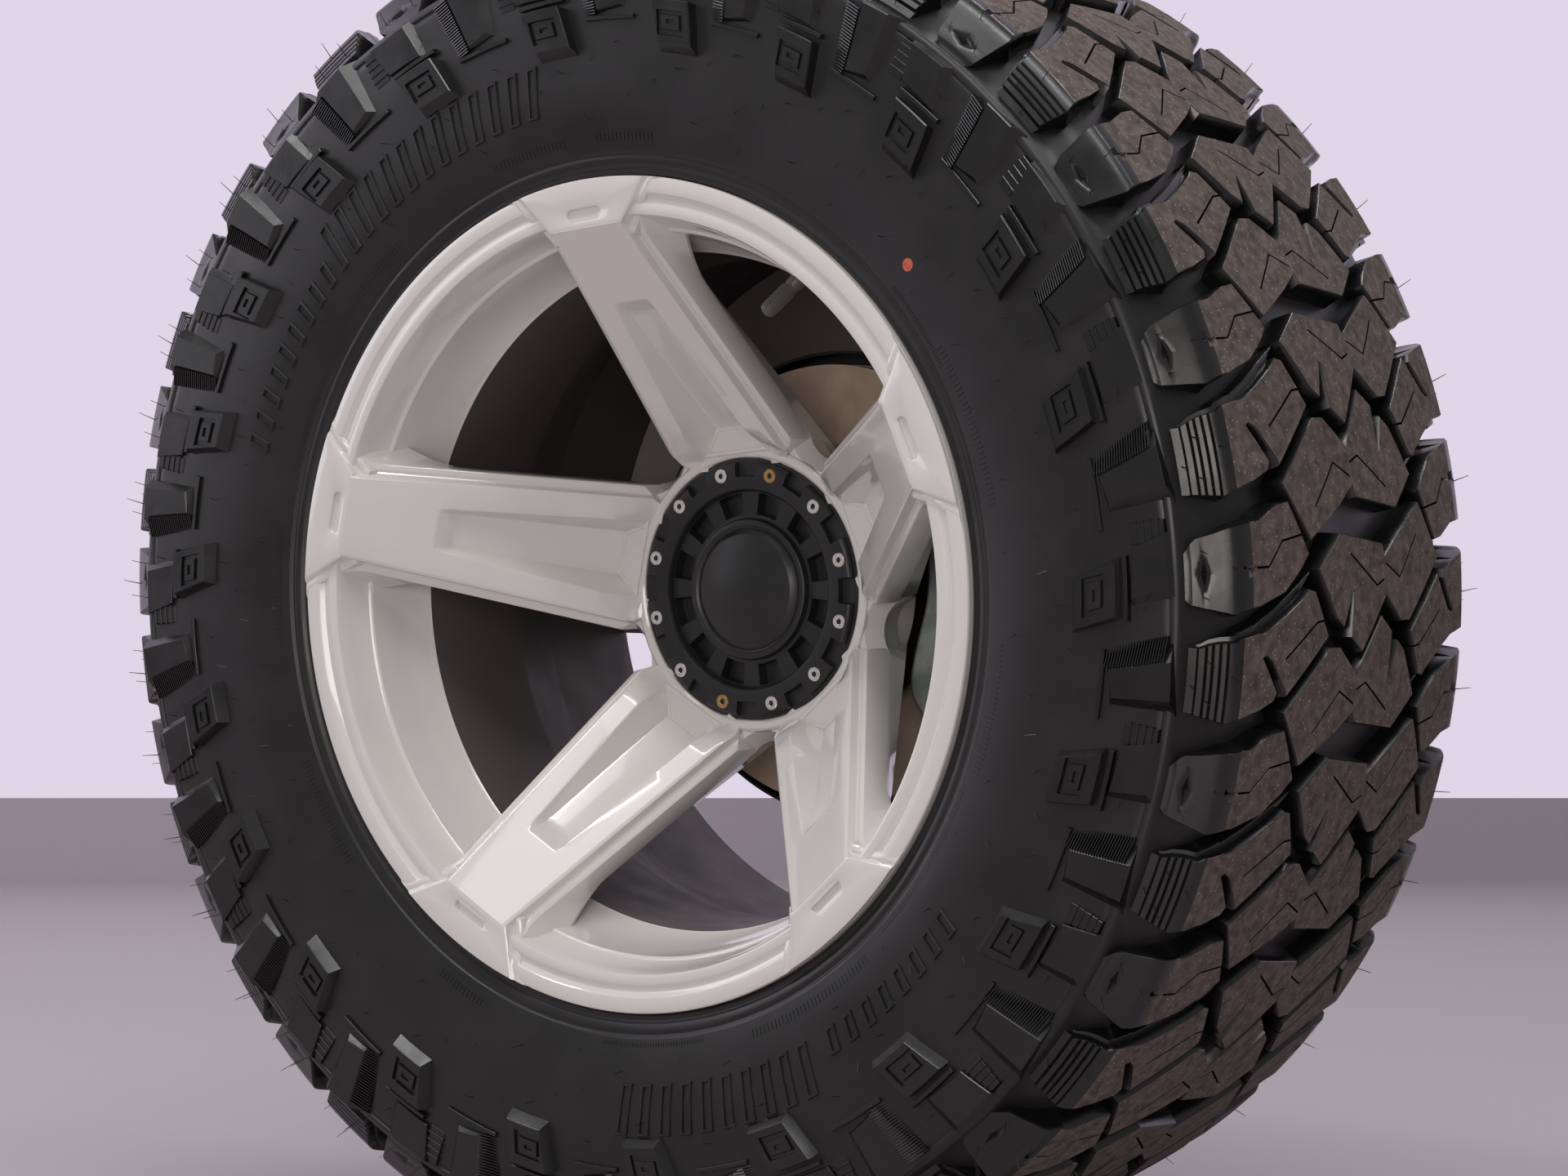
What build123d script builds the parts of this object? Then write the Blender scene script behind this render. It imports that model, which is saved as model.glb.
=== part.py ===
from build123d import *
import os
from math import cos, floor, radians, sin

# Wheel end of a lifted off-road 4x4: a mud tyre on a wide five-spoke wheel, the brake disc and axle
# shaft that turn with it, and the cut end of the axle that carries it, with its brake caliper.
# Millimetres. The axle lies along Y and the wheel's face looks towards -Y. The origin is the centre
# of the axle tube's inner end. Angles go from +X towards +Z, as seen by someone facing the wheel.

# Tyre
tyre_radius = 467.5            # at the middle of the tread
tread_edge_radius = 457.5
tread_half_width = 147.5
tread_depth = 15.0
shoulder_drop = 36.5           # from the tread's edge down to the parting ridge
shoulder_foot_inset = 3.5      # from the side wall's plane in to the shoulder blocks' foot
side_half_width = 171.0        # the plain side wall
side_lug_reach = 181.0         # out to the tips of the lugs on the side wall
side_lug_inset = 31.0          # from the ridge in to the lugs' outer edge
side_lug_height = 36.0
side_lug_draft = 30.0
bead_cover = 14.0              # how far the bead stands above the rim's flange
bulge_rise = 41.0              # from the bead up to where the side wall turns flat
carcass_wall = 14.0
block_sink = 6.0               # how deep the blocks are rooted in the carcass

# Tread pattern: its pitches differ in length, so that the tyre does not hum
pitch_angles = {"short": 15.15, "medium": 16.05, "long": 16.9, "longest": 17.65}
pitch_order = (
    "longest", "medium", "medium", "short", "short", "medium", "long", "longest",
    "medium", "short", "short", "medium", "short", "long", "medium", "longest",
    "short", "long", "longest", "longest", "long", "long",
)
pattern_start = 1.25           # angle of the first side lug's middle
pattern_mate = 0.586           # the inboard half runs ahead by this share of a pitch
flats_in_pitch = 2             # the tread's floor is in flats, so that its blocks stand on planes

# Wheel
rim_half_width = 165.0
flange_radius = 275.0
flange_height = 17.8           # from the bead seat up to the flange's edge
rim_wall = 8.0
flange_root = 14.0             # from the lip plane in to where the bead seat starts
bead_seat_width = 34.0
well_drop = 21.2               # from the bead seat down to the well
well_width = 92.0
well_ramp = 58.0
wheel_offset = -44.0           # negative: the hub face lies inboard of the wheel's middle
face_band_depth = 78.0         # how far the face's own ring runs in from the lip
lip_width = 15.0
lip_bevel = 2.0
lip_step_width = 8.0
lip_step_fall = 4.0            # the step inside the lip's bevel, below the lip plane
lip_step_slope = 2.0
lip_root_fall = 30.0
lip_root_rise = 4.0            # how far the lip's foot stands above the well
spokes = 5
first_spoke = 24.05
spoke_top_inset = 33.0         # from the flange's edge in to where the spoke meets the lip
spoke_foot_radius = 106.0
spoke_top_drop = 11.0          # front of the spoke below the lip plane
spoke_foot_drop = 131.0
spoke_top_half = 26.0          # half width of the spoke's face
spoke_foot_half = 45.0
spoke_top_depth = 42.0
spoke_foot_depth = 62.0
spoke_overlap = 2.0            # how far the spoke runs on into the lip
spoke_step = 8.0               # from the spoke's face down to the ledge along its flank
spoke_step_draft = 1.5
spoke_ledge = 12.0             # from the face's edge out to the flank
spoke_ledge_fall = 2.5
pad_proud = 4.5
pad_inset = 1.5
pad_length = 32.0
pad_tail = 14.0
pad_outer_half = 52.0
pad_inner_half = 35.0
slot_inset = 23.0              # from the flange's edge in to the middle of the pad's slot
slot_half_high = 4.2
slot_half_wide = 10.3
slot_depth = 3.0
pocket_top_inset = 40.0        # from the spoke's top in to the upper end of its pocket
pocket_top_half = 15.0
pocket_foot_half = 25.0
pocket_top_depth = 8.0
pocket_foot_depth = 30.0
pocket_draft = 3.0
hub_radius = 104.0
hub_pad_thickness = 20.0
hub_ledge = 4.0
hub_bevel = 2.0
cap_seat_drop = 165.0
hub_rim_drop = 143.0
pilot_radius = 39.0
pilot_fit = 0.5
pilot_set_back = 4.0
valve_angle = 62.0
valve_lean = (-0.78, -0.62, 0)  # inwards and out of the wheel
valve_drop = 57.0
valve_sink = 3.0
valve_grommet = 7.5
valve_foot = 12.0
valve_collar = 2.0
valve_neck = 16.0
valve_length = 36.0
valve_radius = 5.0

# Cap
cap_radius = 88.0
cap_fit = 1.5
cap_thickness = 21.4
cap_screws = 12
cap_screw_angle = 105.5
cap_centre_radius = 42.0
cap_centre_bevel = 3.0
cap_centre_step = 2.0
cap_window_inner = 51.5
cap_window_outer = 66.5
cap_window_half = 9.5
cap_window_depth = 14.0
cap_trough = 6.0
cap_trough_margin = 2.0
cap_notch_depth = 10.0
cap_notch_angle = 12.0
cap_notch_fall = 12.0
cap_notch_taper = 0.7          # the notch's inner end as a share of its mouth

# Brake
disc_radius = 156.0
disc_drop = 37.0               # from the hub face in to the disc's outer face
disc_thickness = 28.0
disc_cheek = 8.0
disc_track_margin = 10.0       # bare track between the pads' inner edge and the disc's bore
disc_vanes = 30
vane_half = 2.5
hat_radius = 92.0
hat_wall = 8.0
pad_gap = 0.5
friction_thickness = 10.5
backing_thickness = 5.5
backing_lip = 2.0
pad_edge_inset = 4.0           # from the disc's edge in to the pads' outer edge
pad_track = 44.0               # the pads' radial width
brake_pad_angle = 44.0
caliper_rise = 38.0            # the caliper's back above the disc's edge
caliper_half = 50.0
caliper_bevel = 14.0
caliper_back_inset = 18.0
caliper_window_half = 20.0
caliper_window_margin = 4.0
housing_overlap = 6.0          # the housing's and the fingers' inner edges from the pads' inner edge
finger_inset = 4.0
disc_edge_gap = 7.0
finger_thickness = 16.0
piston_radius = 27.0
piston_bore_radius = 18.0
piston_length = 32.0
piston_bore_depth = 34.0
piston_proud = 2.5
caliper_body_depth = 54.0
arm_inner_half = 66.0
arm_outer_half = 88.0
arm_thickness = 14.0
arm_reach = 30.0               # the arms' outer edge beyond the guide pins
arm_edge_inset = 2.0
post_overhang = 10.0           # how far the arms reach past the disc's outer face
pin_inset = 16.0               # from the disc's edge in to the guide pins
pin_half_pitch = 77.0
pin_radius = 5.5
pin_head_radius = 9.0
pin_head_height = 8.0
ear_half_high = 12.0
ear_thickness = 10.0
ear_gap = 8.0
port_radius = 5.0
port_depth = 14.0

# Axle
axle_reach = 300.0             # tube end to the wheel's middle plane
tube_radius = 44.45
tube_wall = 8.0
housing_radius = 50.0
housing_taper = 12.0
bearing_outer = 40.0
bearing_width = 26.0
shaft_radius = 19.0
shaft_bevel = 2.0
journal_radius = 25.0
journal_taper = 10.0
running_fit = 0.1
shaft_end = 90.0               # how far the shaft stands out past the tube
shaft_flange_gap = 4.0         # between the shaft's flange and the hat's wall
shaft_flange_thickness = 14.0
shaft_neck_radius = 36.0
shaft_step_radius = 30.0
axle_flange_radius = 78.0
axle_flange_thickness = 12.0
retainer_thickness = 6.0
retainer_gap = 8.0
retainer_bore_gap = 5.0
shield_thickness = 2.0
shield_gap = 6.0
shield_rim_gap = 8.0
shield_rim_depth = 22.0
shield_opening_gap = 6.0
shield_opening_flare = 34.0
bracket_foot_half = 20.0       # the bracket's foot, to both sides of the axle flange's edge
bracket_foot_gap = 4.0

# Radii that follow from those above
floor_radius = tread_edge_radius - tread_depth
block_root = floor_radius - block_sink
ridge_radius = tread_edge_radius - shoulder_drop
bead_radius = flange_radius + bead_cover
bulge_radius = bead_radius + bulge_rise
side_lug_outer = ridge_radius - side_lug_inset
side_lug_inner = side_lug_outer - side_lug_height
bead_seat_radius = flange_radius - flange_height
well_radius = bead_seat_radius - well_drop
spoke_top_radius = flange_radius - spoke_top_inset
pad_inner_radius = flange_radius - pad_length
slot_radius = flange_radius - slot_inset
brake_pad_outer = disc_radius - pad_edge_inset
brake_pad_inner = brake_pad_outer - pad_track
brake_pad_middle = (brake_pad_inner + brake_pad_outer) / 2
caliper_outer_radius = disc_radius + caliper_rise
pin_place_radius = disc_radius - pin_inset
shaft_flange_radius = hat_radius - hat_wall - shaft_flange_gap

# Places along the axle
centre_y = -axle_reach
lip_y = centre_y - rim_half_width
inner_flange_y = centre_y + rim_half_width
hub_face_y = centre_y - wheel_offset
pilot_y = hub_face_y - hub_pad_thickness
disc_outer_y = hub_face_y + disc_drop
disc_inner_y = disc_outer_y + disc_thickness
flange_face_y = hub_face_y + hat_wall
flange_back_y = flange_face_y + shaft_flange_thickness
retainer_y = flange_back_y + retainer_gap
housing_y = retainer_y + retainer_thickness
shield_y = disc_inner_y + shield_gap
axle_flange_y = shield_y + shield_thickness
bracket_y = axle_flange_y + axle_flange_thickness
ear_y = bracket_y + arm_thickness + ear_gap
cap_seat_y = lip_y + cap_seat_drop
cap_front_y = cap_seat_y - cap_thickness
hub_rim_y = lip_y + hub_rim_drop
inner_pad_back_y = disc_inner_y + pad_gap + friction_thickness + backing_thickness
outer_pad_back_y = disc_outer_y - pad_gap - friction_thickness - backing_thickness
valve_plane = Plane(origin=(well_radius - valve_sink, lip_y + valve_drop, 0), z_dir=valve_lean)
through = 1.0                  # how far a cutting tool stands out past what it cuts


def ring(points):
    """Turn a closed outline of (radius, y) points about the axle."""
    outline = make_face(Polyline([(r, y) for r, y in points], close=True).edges())
    return revolve(outline, Axis.Y)


def disc(outer, y_low, y_high, inner=0.0):
    """A plain round plate about the axle, with a hole if inner is given."""
    return ring([(inner, y_low), (outer, y_low), (outer, y_high), (inner, y_high)])


def turned(shape, angle):
    """Turn a shape about the axle by an angle in the wheel's own sense."""
    return shape.rotate(Axis.Y, -angle)


def plate(points, y_low, y_high):
    """A flat plate across the axle, from an outline of (x, z) points."""
    outline = make_face(Polyline([(x, y_low, z) for x, z in points], close=True).edges())
    return extrude(outline, amount=y_high - y_low, dir=(0, 1, 0))


def bar(x_low, x_high, z_half, y_low, y_high):
    """A flat plate across the axle, from a rectangle centred on the X axis."""
    return plate([(x_low, -z_half), (x_high, -z_half), (x_high, z_half), (x_low, z_half)], y_low, y_high)


def side_plate(points, z_half):
    """A plate along the axle, from an outline of (x, y) points, out to z_half on both sides."""
    outline = make_face(Polyline([(x, y, -z_half) for x, y in points], close=True).edges())
    return extrude(outline, amount=2 * z_half, dir=(0, 0, 1))


def save(node, shape):
    """Write one node's STEP file."""
    solids = shape.solids()
    result = solids[0] if len(solids) == 1 else Compound(children=list(solids))
    export_step(result, f"parts/{node}.step")
    print(f"{node:16s} {len(solids):3d} solids {result.volume / 1000:9.1f} cm3 faces {len(result.faces())}")


def tread_top(u):
    """Radius of the tread's top at a distance u from the tyre's middle plane."""
    return tyre_radius - (tyre_radius - tread_edge_radius) * (u / tread_half_width) ** 2


def pattern_angle(place):
    """Angle of a place in the tread pattern, which is counted in pitches from the first side lug."""
    sizes = [pitch_angles[name] for name in pitch_order]
    whole = floor(place)
    turns, index = divmod(whole, len(sizes))
    gone = turns * sum(sizes) + sum(sizes[:index]) + (place - whole) * sizes[index]
    return pattern_start + 360 * gone / sum(sizes)


def angles_of(shares, pitch, sense):
    """Angles of shares of a pitch, counted downwards from its side lug; sense -1 is the inboard half."""
    if sense == 1:
        return [pattern_angle(pitch - share) for share in shares]
    return [pattern_angle(pitch + pattern_mate + share) for share in shares]


def crown_block(corners, pitch, sense):
    """A block of the tread's middle from (mm from the middle plane, share) corners, with a tilted top."""
    angles = angles_of([v for u, v in corners], pitch, sense)
    middle = (min(angles) + max(angles)) / 2
    u_low = min(u for u, v in corners)
    u_high = max(u for u, v in corners)
    slope = (tread_top(u_high) - tread_top(u_low)) / (u_high - u_low)
    points = []
    for (u, v), angle in zip(corners, angles):
        top = tread_top(u_low) + slope * (u - u_low)
        points.append((top, centre_y - sense * u, tyre_radius * radians(angle - middle)))
    face = make_face(Polyline(points, close=True).edges())
    return turned(extrude(face, amount=tread_top(u_low) - block_root, dir=(-1, 0, 0)), middle)


def shoulder_block(corners, pitch, sense):
    """A block that runs over the tread's edge and down the shoulder, cut to the shoulder's section."""
    angles = angles_of([v for u, v in corners], pitch, sense)
    middle = (min(angles) + max(angles)) / 2
    points = []
    for (u, v), angle in zip(corners, angles):
        points.append((ridge_radius, centre_y - sense * u, tyre_radius * radians(angle - middle)))
    face = make_face(Polyline(points, close=True).edges())
    prism = extrude(face, amount=tyre_radius - ridge_radius, dir=(1, 0, 0))
    u_low = min(u for u, v in corners)
    foot = side_half_width - shoulder_foot_inset
    section = [
        (block_root, u_low), (tread_top(u_low), u_low), (tread_edge_radius, tread_half_width), (ridge_radius, foot),
        (ridge_radius, foot - block_sink), (block_root, tread_half_width - block_sink),
    ]
    cut = side_plate([(r, centre_y - sense * u) for r, u in section], tread_half_width)
    return turned(prism & cut, middle)


def side_lug(pitch, sense):
    """The lug on the side wall, a low slanted block with drafted sides."""
    # radius, share of a pitch
    corners = (
        (side_lug_inner, -0.115), (side_lug_outer, -0.218), (side_lug_outer, 0.127), (side_lug_inner, 0.227),
    )
    angles = angles_of([v for r, v in corners], pitch, sense)
    middle = (min(angles) + max(angles)) / 2
    base = side_half_width - shoulder_foot_inset
    points = []
    for (r, v), angle in zip(corners, angles):
        points.append((r, centre_y - sense * base, r * radians(angle - middle)))
    face = make_face(Polyline(points, close=True).edges())
    lug = extrude(face, amount=side_lug_reach - base, dir=(0, -sense, 0), taper=side_lug_draft)
    return turned(lug, middle)


def tread_band():
    """The tread's floor in flats, sloping down over both shoulders to the ridge."""
    count = len(pitch_order) * flats_in_pitch
    angles = [radians(pattern_angle(n / flats_in_pitch)) for n in range(count)]
    # The flats' edges stand out by half of what their middles lie in.
    lift = (1 / cos(max(b - a for a, b in zip(angles, angles[1:])) / 2) + 1) / 2

    def polygon(radius, u):
        corners = [(lift * radius * cos(a), centre_y + u, lift * radius * sin(a)) for a in angles]
        return make_face(Polyline(corners, close=True).edges())

    band = extrude(polygon(floor_radius, -tread_half_width), amount=2 * tread_half_width, dir=(0, 1, 0))
    for side in (1, -1):
        ends = [polygon(floor_radius, side * tread_half_width), polygon(ridge_radius, side * side_half_width)]
        band = band + loft(ends, ruled=True)
    end = side_half_width + through
    end_radius = ridge_radius - carcass_wall
    radius = floor_radius - carcass_wall / 2
    hollow = [(0, -end), (end_radius, -end), (radius, -tread_half_width), (radius, tread_half_width),
              (end_radius, end), (0, end)]
    return band - ring([(r, centre_y + u) for r, u in hollow])


def tyre():
    """Hollow carcass with its tread blocks, shoulder blocks and side lugs."""
    outer = [
        (bead_seat_radius, rim_half_width - flange_root),
        (flange_radius, rim_half_width - rim_wall),
        (bead_radius, rim_half_width),
        (bulge_radius, side_half_width),
        (ridge_radius - block_sink, side_half_width),
        (block_root, tread_half_width),
    ]
    inner = [
        (floor_radius - carcass_wall, tread_half_width - block_sink),
        (bead_seat_radius, rim_half_width - flange_root - bead_seat_width),
    ]
    right = [(r, centre_y + u) for r, u in outer]
    left = [(r, centre_y - u) for r, u in outer]
    inside = [(r, centre_y - u) for r, u in inner[::-1]] + [(r, centre_y + u) for r, u in inner]
    carcass = ring(right + left[::-1] + inside)
    # name, then corners as (mm from the middle plane, share of a pitch)
    foot = side_half_width
    long_shoulder = ((foot, 0.20), (78, -0.01), (55, 0.204), (99, 0.461), (foot, 0.56))
    short_shoulder = ((foot, -0.285), (96, -0.387), (77, -0.16), (foot, 0.09))
    outer_crown = ((99, -0.465), (46, -0.75), (16, -0.52), (73.5, -0.215))
    inner_crown = ((39, -0.246), (-17, -0.197), (-17, 0.05), (12, 0.304), (67, -0.095))
    pieces = []
    for pitch in range(len(pitch_order)):
        for sense in (1, -1):
            pieces += [shoulder_block(corners, pitch, sense) for corners in (long_shoulder, short_shoulder)]
            pieces += [crown_block(corners, pitch, sense) for corners in (outer_crown, inner_crown)]
            pieces.append(side_lug(pitch, sense))
    return carcass.fuse(tread_band(), *pieces)


def rim_barrel():
    """The inboard part of the rim: well, bead seat and flange."""
    start = lip_y + face_band_depth
    ramp_start = start + well_width
    ramp_end = ramp_start + well_ramp
    outer = [
        (well_radius, start),
        (well_radius, ramp_start),
        (bead_seat_radius, ramp_end),
        (bead_seat_radius, inner_flange_y - flange_root),
        (flange_radius, inner_flange_y - rim_wall),
        (flange_radius, inner_flange_y),
    ]
    inner = [
        (bead_seat_radius - rim_wall, inner_flange_y),
        (bead_seat_radius - rim_wall, ramp_end + rim_wall / 2),
        (well_radius - rim_wall, ramp_start + rim_wall / 2),
        (well_radius - rim_wall, start),
    ]
    return ring(outer + inner)


def wheel_face():
    """Cast face: lip ring, five tapering spokes with pockets, and the hub."""
    end = lip_y + face_band_depth
    lip_face = flange_radius - lip_width
    lip_step = lip_face - lip_bevel
    lip = ring([
        (flange_radius, lip_y), (flange_radius, lip_y + rim_wall),
        (bead_seat_radius, lip_y + flange_root), (bead_seat_radius, lip_y + flange_root + bead_seat_width),
        (well_radius, end), (well_radius - rim_wall, end),
        (well_radius + lip_root_rise, lip_y + lip_root_fall),
        (lip_step - lip_step_width, lip_y + lip_step_fall + lip_step_slope),
        (lip_step, lip_y + lip_step_fall), (lip_face, lip_y),
    ])
    bore = cap_radius + cap_fit
    hub = ring([
        (pilot_radius, hub_face_y), (hub_radius, hub_face_y), (hub_radius, hub_rim_y),
        (bore + hub_bevel, hub_rim_y), (bore, hub_rim_y + hub_bevel), (bore, cap_seat_y),
        (cap_radius - hub_ledge, cap_seat_y), (cap_radius - hub_ledge, pilot_y), (pilot_radius, pilot_y),
    ])
    spoke = wheel_spoke() - disc((hub_radius + bore) / 2, lip_y, disc_inner_y)
    face = lip.fuse(hub, *[turned(spoke, first_spoke + 360 / spokes * n) for n in range(spokes)])
    return face - turned(valve_plane * Cylinder(valve_grommet, 2 * valve_length), valve_angle)


def along_spoke(radius, top, foot):
    """A size of the spoke at a radius, straight from its top's value to its foot's."""
    return top + (spoke_top_radius - radius) / (spoke_top_radius - spoke_foot_radius) * (foot - top)


def spoke_front(radius):
    """Place of the spoke's front along the axle at a radius."""
    return lip_y + along_spoke(radius, spoke_top_drop, spoke_foot_drop)


def spoke_section(radius):
    """Outline across the spoke: a raised face, a ledge along each flank, and a straight drop behind it."""
    front = spoke_front(radius)
    half = along_spoke(radius, spoke_top_half, spoke_foot_half)
    depth = along_spoke(radius, spoke_top_depth, spoke_foot_depth)
    ledge = front + spoke_step
    right = [(half, front), (half + spoke_step_draft, ledge), (half + spoke_ledge, ledge + spoke_ledge_fall),
             (half + spoke_ledge, front + depth)]
    left = [(-t, y) for t, y in reversed(right)]
    return make_face(Polyline([(radius, y, t) for t, y in right + left], close=True).edges())


def wheel_spoke():
    """One spoke along +X, with its pad over the lip, its slot and its long pocket."""
    body = loft([spoke_section(cap_radius), spoke_section(spoke_top_radius + spoke_overlap)], ruled=True)
    pad_front = lip_y - pad_proud
    pad_end = flange_radius + pad_outer_half
    pad_tail_radius = pad_inner_radius - pad_tail
    flare = (pad_outer_half - pad_inner_half) / pad_length
    end_half = pad_inner_half + flare * (pad_end - pad_inner_radius)
    outline = [(pad_tail_radius, -spoke_top_half), (pad_inner_radius, -pad_inner_half), (pad_end, -end_half),
               (pad_end, end_half), (pad_inner_radius, pad_inner_half), (pad_tail_radius, spoke_top_half)]
    pad = plate(outline, pad_front, lip_y + rim_wall - through)
    pad = pad & disc(flange_radius - pad_inset, pad_front, lip_y + rim_wall)
    slot = bar(slot_radius - slot_half_high, slot_radius + slot_half_high, slot_half_wide,
               pad_front - through, pad_front + slot_depth)
    sections = []
    # radius, half width and depth of the pocket at its two ends
    ends = ((spoke_top_radius - pocket_top_inset, pocket_top_half, pocket_top_depth),
            (cap_radius - through, pocket_foot_half, pocket_foot_depth))
    for radius, half, depth in ends:
        front = spoke_front(radius) - pocket_foot_depth
        back = spoke_front(radius) + depth
        corners = [(radius, front, -half), (radius, front, half),
                   (radius, back, half - pocket_draft), (radius, back, pocket_draft - half)]
        sections.append(make_face(Polyline(corners, close=True).edges()))
    return body + pad - slot - loft(sections, ruled=True)


def cap_ring():
    """Screwed cap ring with its edge notches and windows."""
    trough_outer = cap_window_outer + cap_trough_margin
    trough_inner = cap_window_inner - cap_trough_margin
    body = ring([
        (cap_centre_radius, cap_seat_y), (cap_radius, cap_seat_y), (cap_radius, cap_front_y),
        (trough_outer, cap_front_y), (trough_outer, cap_front_y + cap_trough),
        (trough_inner, cap_front_y + cap_trough), (trough_inner, cap_front_y),
        (cap_centre_radius, cap_front_y),
    ])
    front = cap_front_y - through
    window = bar(cap_window_inner, cap_window_outer, cap_window_half, front, cap_front_y + cap_window_depth)
    reach = cap_radius + hub_ledge
    half = reach * sin(radians(cap_notch_angle / 2))
    inner = cap_radius - cap_notch_depth
    inner_half = half * cap_notch_taper
    corners = [(inner, -inner_half), (reach, -half), (reach, half), (inner, inner_half)]
    notch = plate(corners, front, cap_front_y + cap_notch_fall)
    for n in range(cap_screws):
        angle = cap_screw_angle + 360 / cap_screws * n
        body = body - turned(window, angle) - turned(notch, angle + 180 / cap_screws)
    return body


def cap_centre():
    """Plain domed centre of the cap."""
    return ring([
        (0, cap_seat_y), (cap_centre_radius, cap_seat_y), (cap_centre_radius, cap_front_y - cap_centre_step),
        (cap_centre_radius - cap_centre_bevel, cap_front_y - 2 * cap_centre_step),
        (0, cap_front_y - 3 * cap_centre_step),
    ])


def valve_stem():
    """Rubber valve stem in the rim's wall between two spokes, leaning in and outwards."""
    outline = make_face(Polyline([
        (0, -valve_foot), (valve_grommet, -valve_foot), (valve_grommet, valve_collar),
        (valve_radius, valve_neck), (valve_radius, valve_length), (0, valve_length),
    ], close=True).edges())
    stem = revolve(outline, Axis.Y)
    return turned(valve_plane * Rot(90, 0, 0) * stem, valve_angle)


def axle_shaft():
    """Flanged axle shaft with the pilot that centres the wheel."""
    bearing_end = housing_y + bearing_width
    return ring([
        (0, pilot_y + pilot_set_back), (pilot_radius - pilot_fit, pilot_y + pilot_set_back),
        (pilot_radius - pilot_fit, flange_face_y), (shaft_flange_radius, flange_face_y),
        (shaft_flange_radius, flange_back_y), (shaft_neck_radius, flange_back_y),
        (shaft_step_radius, retainer_y), (journal_radius - running_fit, retainer_y),
        (journal_radius - running_fit, bearing_end),
        (shaft_radius, bearing_end + journal_taper), (shaft_radius, shaft_end - shaft_bevel),
        (shaft_radius - shaft_bevel, shaft_end), (0, shaft_end),
    ])


def brake_disc():
    """Vented brake disc with its hat over the shaft's flange."""
    outer_cheek = ring([
        (pilot_radius, hub_face_y), (hat_radius, hub_face_y), (hat_radius, disc_outer_y),
        (disc_radius, disc_outer_y), (disc_radius, disc_outer_y + disc_cheek),
        (hat_radius - hat_wall, disc_outer_y + disc_cheek), (hat_radius - hat_wall, flange_face_y),
        (pilot_radius, flange_face_y),
    ])
    bore = brake_pad_inner - disc_track_margin
    inner_cheek = disc(disc_radius, disc_inner_y - disc_cheek, disc_inner_y, bore)
    inset = disc_cheek / 2
    vane = bar(bore + inset, disc_radius - inset, vane_half, disc_outer_y + inset, disc_inner_y - inset)
    return outer_cheek.fuse(inner_cheek, *[turned(vane, 360 / disc_vanes * n) for n in range(disc_vanes)])


def axle_tube():
    """Axle tube with the bearing housing and brake flange at its end."""
    bore = tube_radius - tube_wall
    return ring([
        (bore, 0), (tube_radius, 0), (tube_radius, bracket_y + housing_taper), (housing_radius, bracket_y),
        (axle_flange_radius, bracket_y), (axle_flange_radius, axle_flange_y),
        (housing_radius, axle_flange_y), (housing_radius, housing_y),
        (bearing_outer, housing_y), (bearing_outer, housing_y + bearing_width),
        (bore, housing_y + bearing_width),
    ])


def wheel_bearing():
    """Sealed bearing in the housing."""
    return disc(bearing_outer, housing_y, housing_y + bearing_width, journal_radius)


def bearing_retainer():
    """Retainer ring that closes the housing."""
    return disc(housing_radius, retainer_y, housing_y, shaft_step_radius + retainer_bore_gap)


def dust_shield():
    """Pressed shield behind the disc, open where the caliper sits."""
    rim = disc_radius + shield_rim_gap
    shield = ring([
        (housing_radius, shield_y), (rim, shield_y), (rim, shield_y - shield_rim_depth),
        (rim + shield_thickness, shield_y - shield_rim_depth), (rim + shield_thickness, axle_flange_y),
        (housing_radius, axle_flange_y),
    ])
    near_half = arm_outer_half + shield_opening_gap
    far_half = near_half + shield_opening_flare
    far = rim + shield_opening_flare
    near = axle_flange_radius
    corners = [(near, -near_half), (far, -far_half), (far, far_half), (near, near_half)]
    opening = plate(corners, shield_y - shield_rim_depth - through, axle_flange_y + through)
    return shield - opening


def caliper_bracket():
    """Bracket bolted to the axle flange, with two arms that reach over the disc."""
    back = bracket_y + arm_thickness
    post = disc_outer_y - post_overhang
    foot = axle_flange_radius - bracket_foot_half
    base = bar(foot, axle_flange_radius + bracket_foot_half, arm_outer_half, bracket_y, back)
    base = base - disc(housing_radius + bracket_foot_gap, bracket_y - through, back + through)
    arm_edge = disc_radius - arm_edge_inset
    arm_end = pin_place_radius + arm_reach
    hook = brake_pad_inner + finger_inset
    profile = [(foot, back), (arm_end, back), (arm_end, post - arm_thickness), (hook, post - arm_thickness),
               (hook, post), (arm_edge, post), (arm_edge, bracket_y), (foot, bracket_y)]
    arm = side_plate(profile, (arm_outer_half - arm_inner_half) / 2)
    arm_middle = (arm_outer_half + arm_inner_half) / 2
    bracket = base + Pos(0, 0, arm_middle) * arm + Pos(0, 0, -arm_middle) * arm
    hole = Pos(pin_place_radius, 0, 0) * disc(pin_radius, bracket_y - through, back + through)
    return bracket - Pos(0, 0, pin_half_pitch) * hole - Pos(0, 0, -pin_half_pitch) * hole


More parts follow.
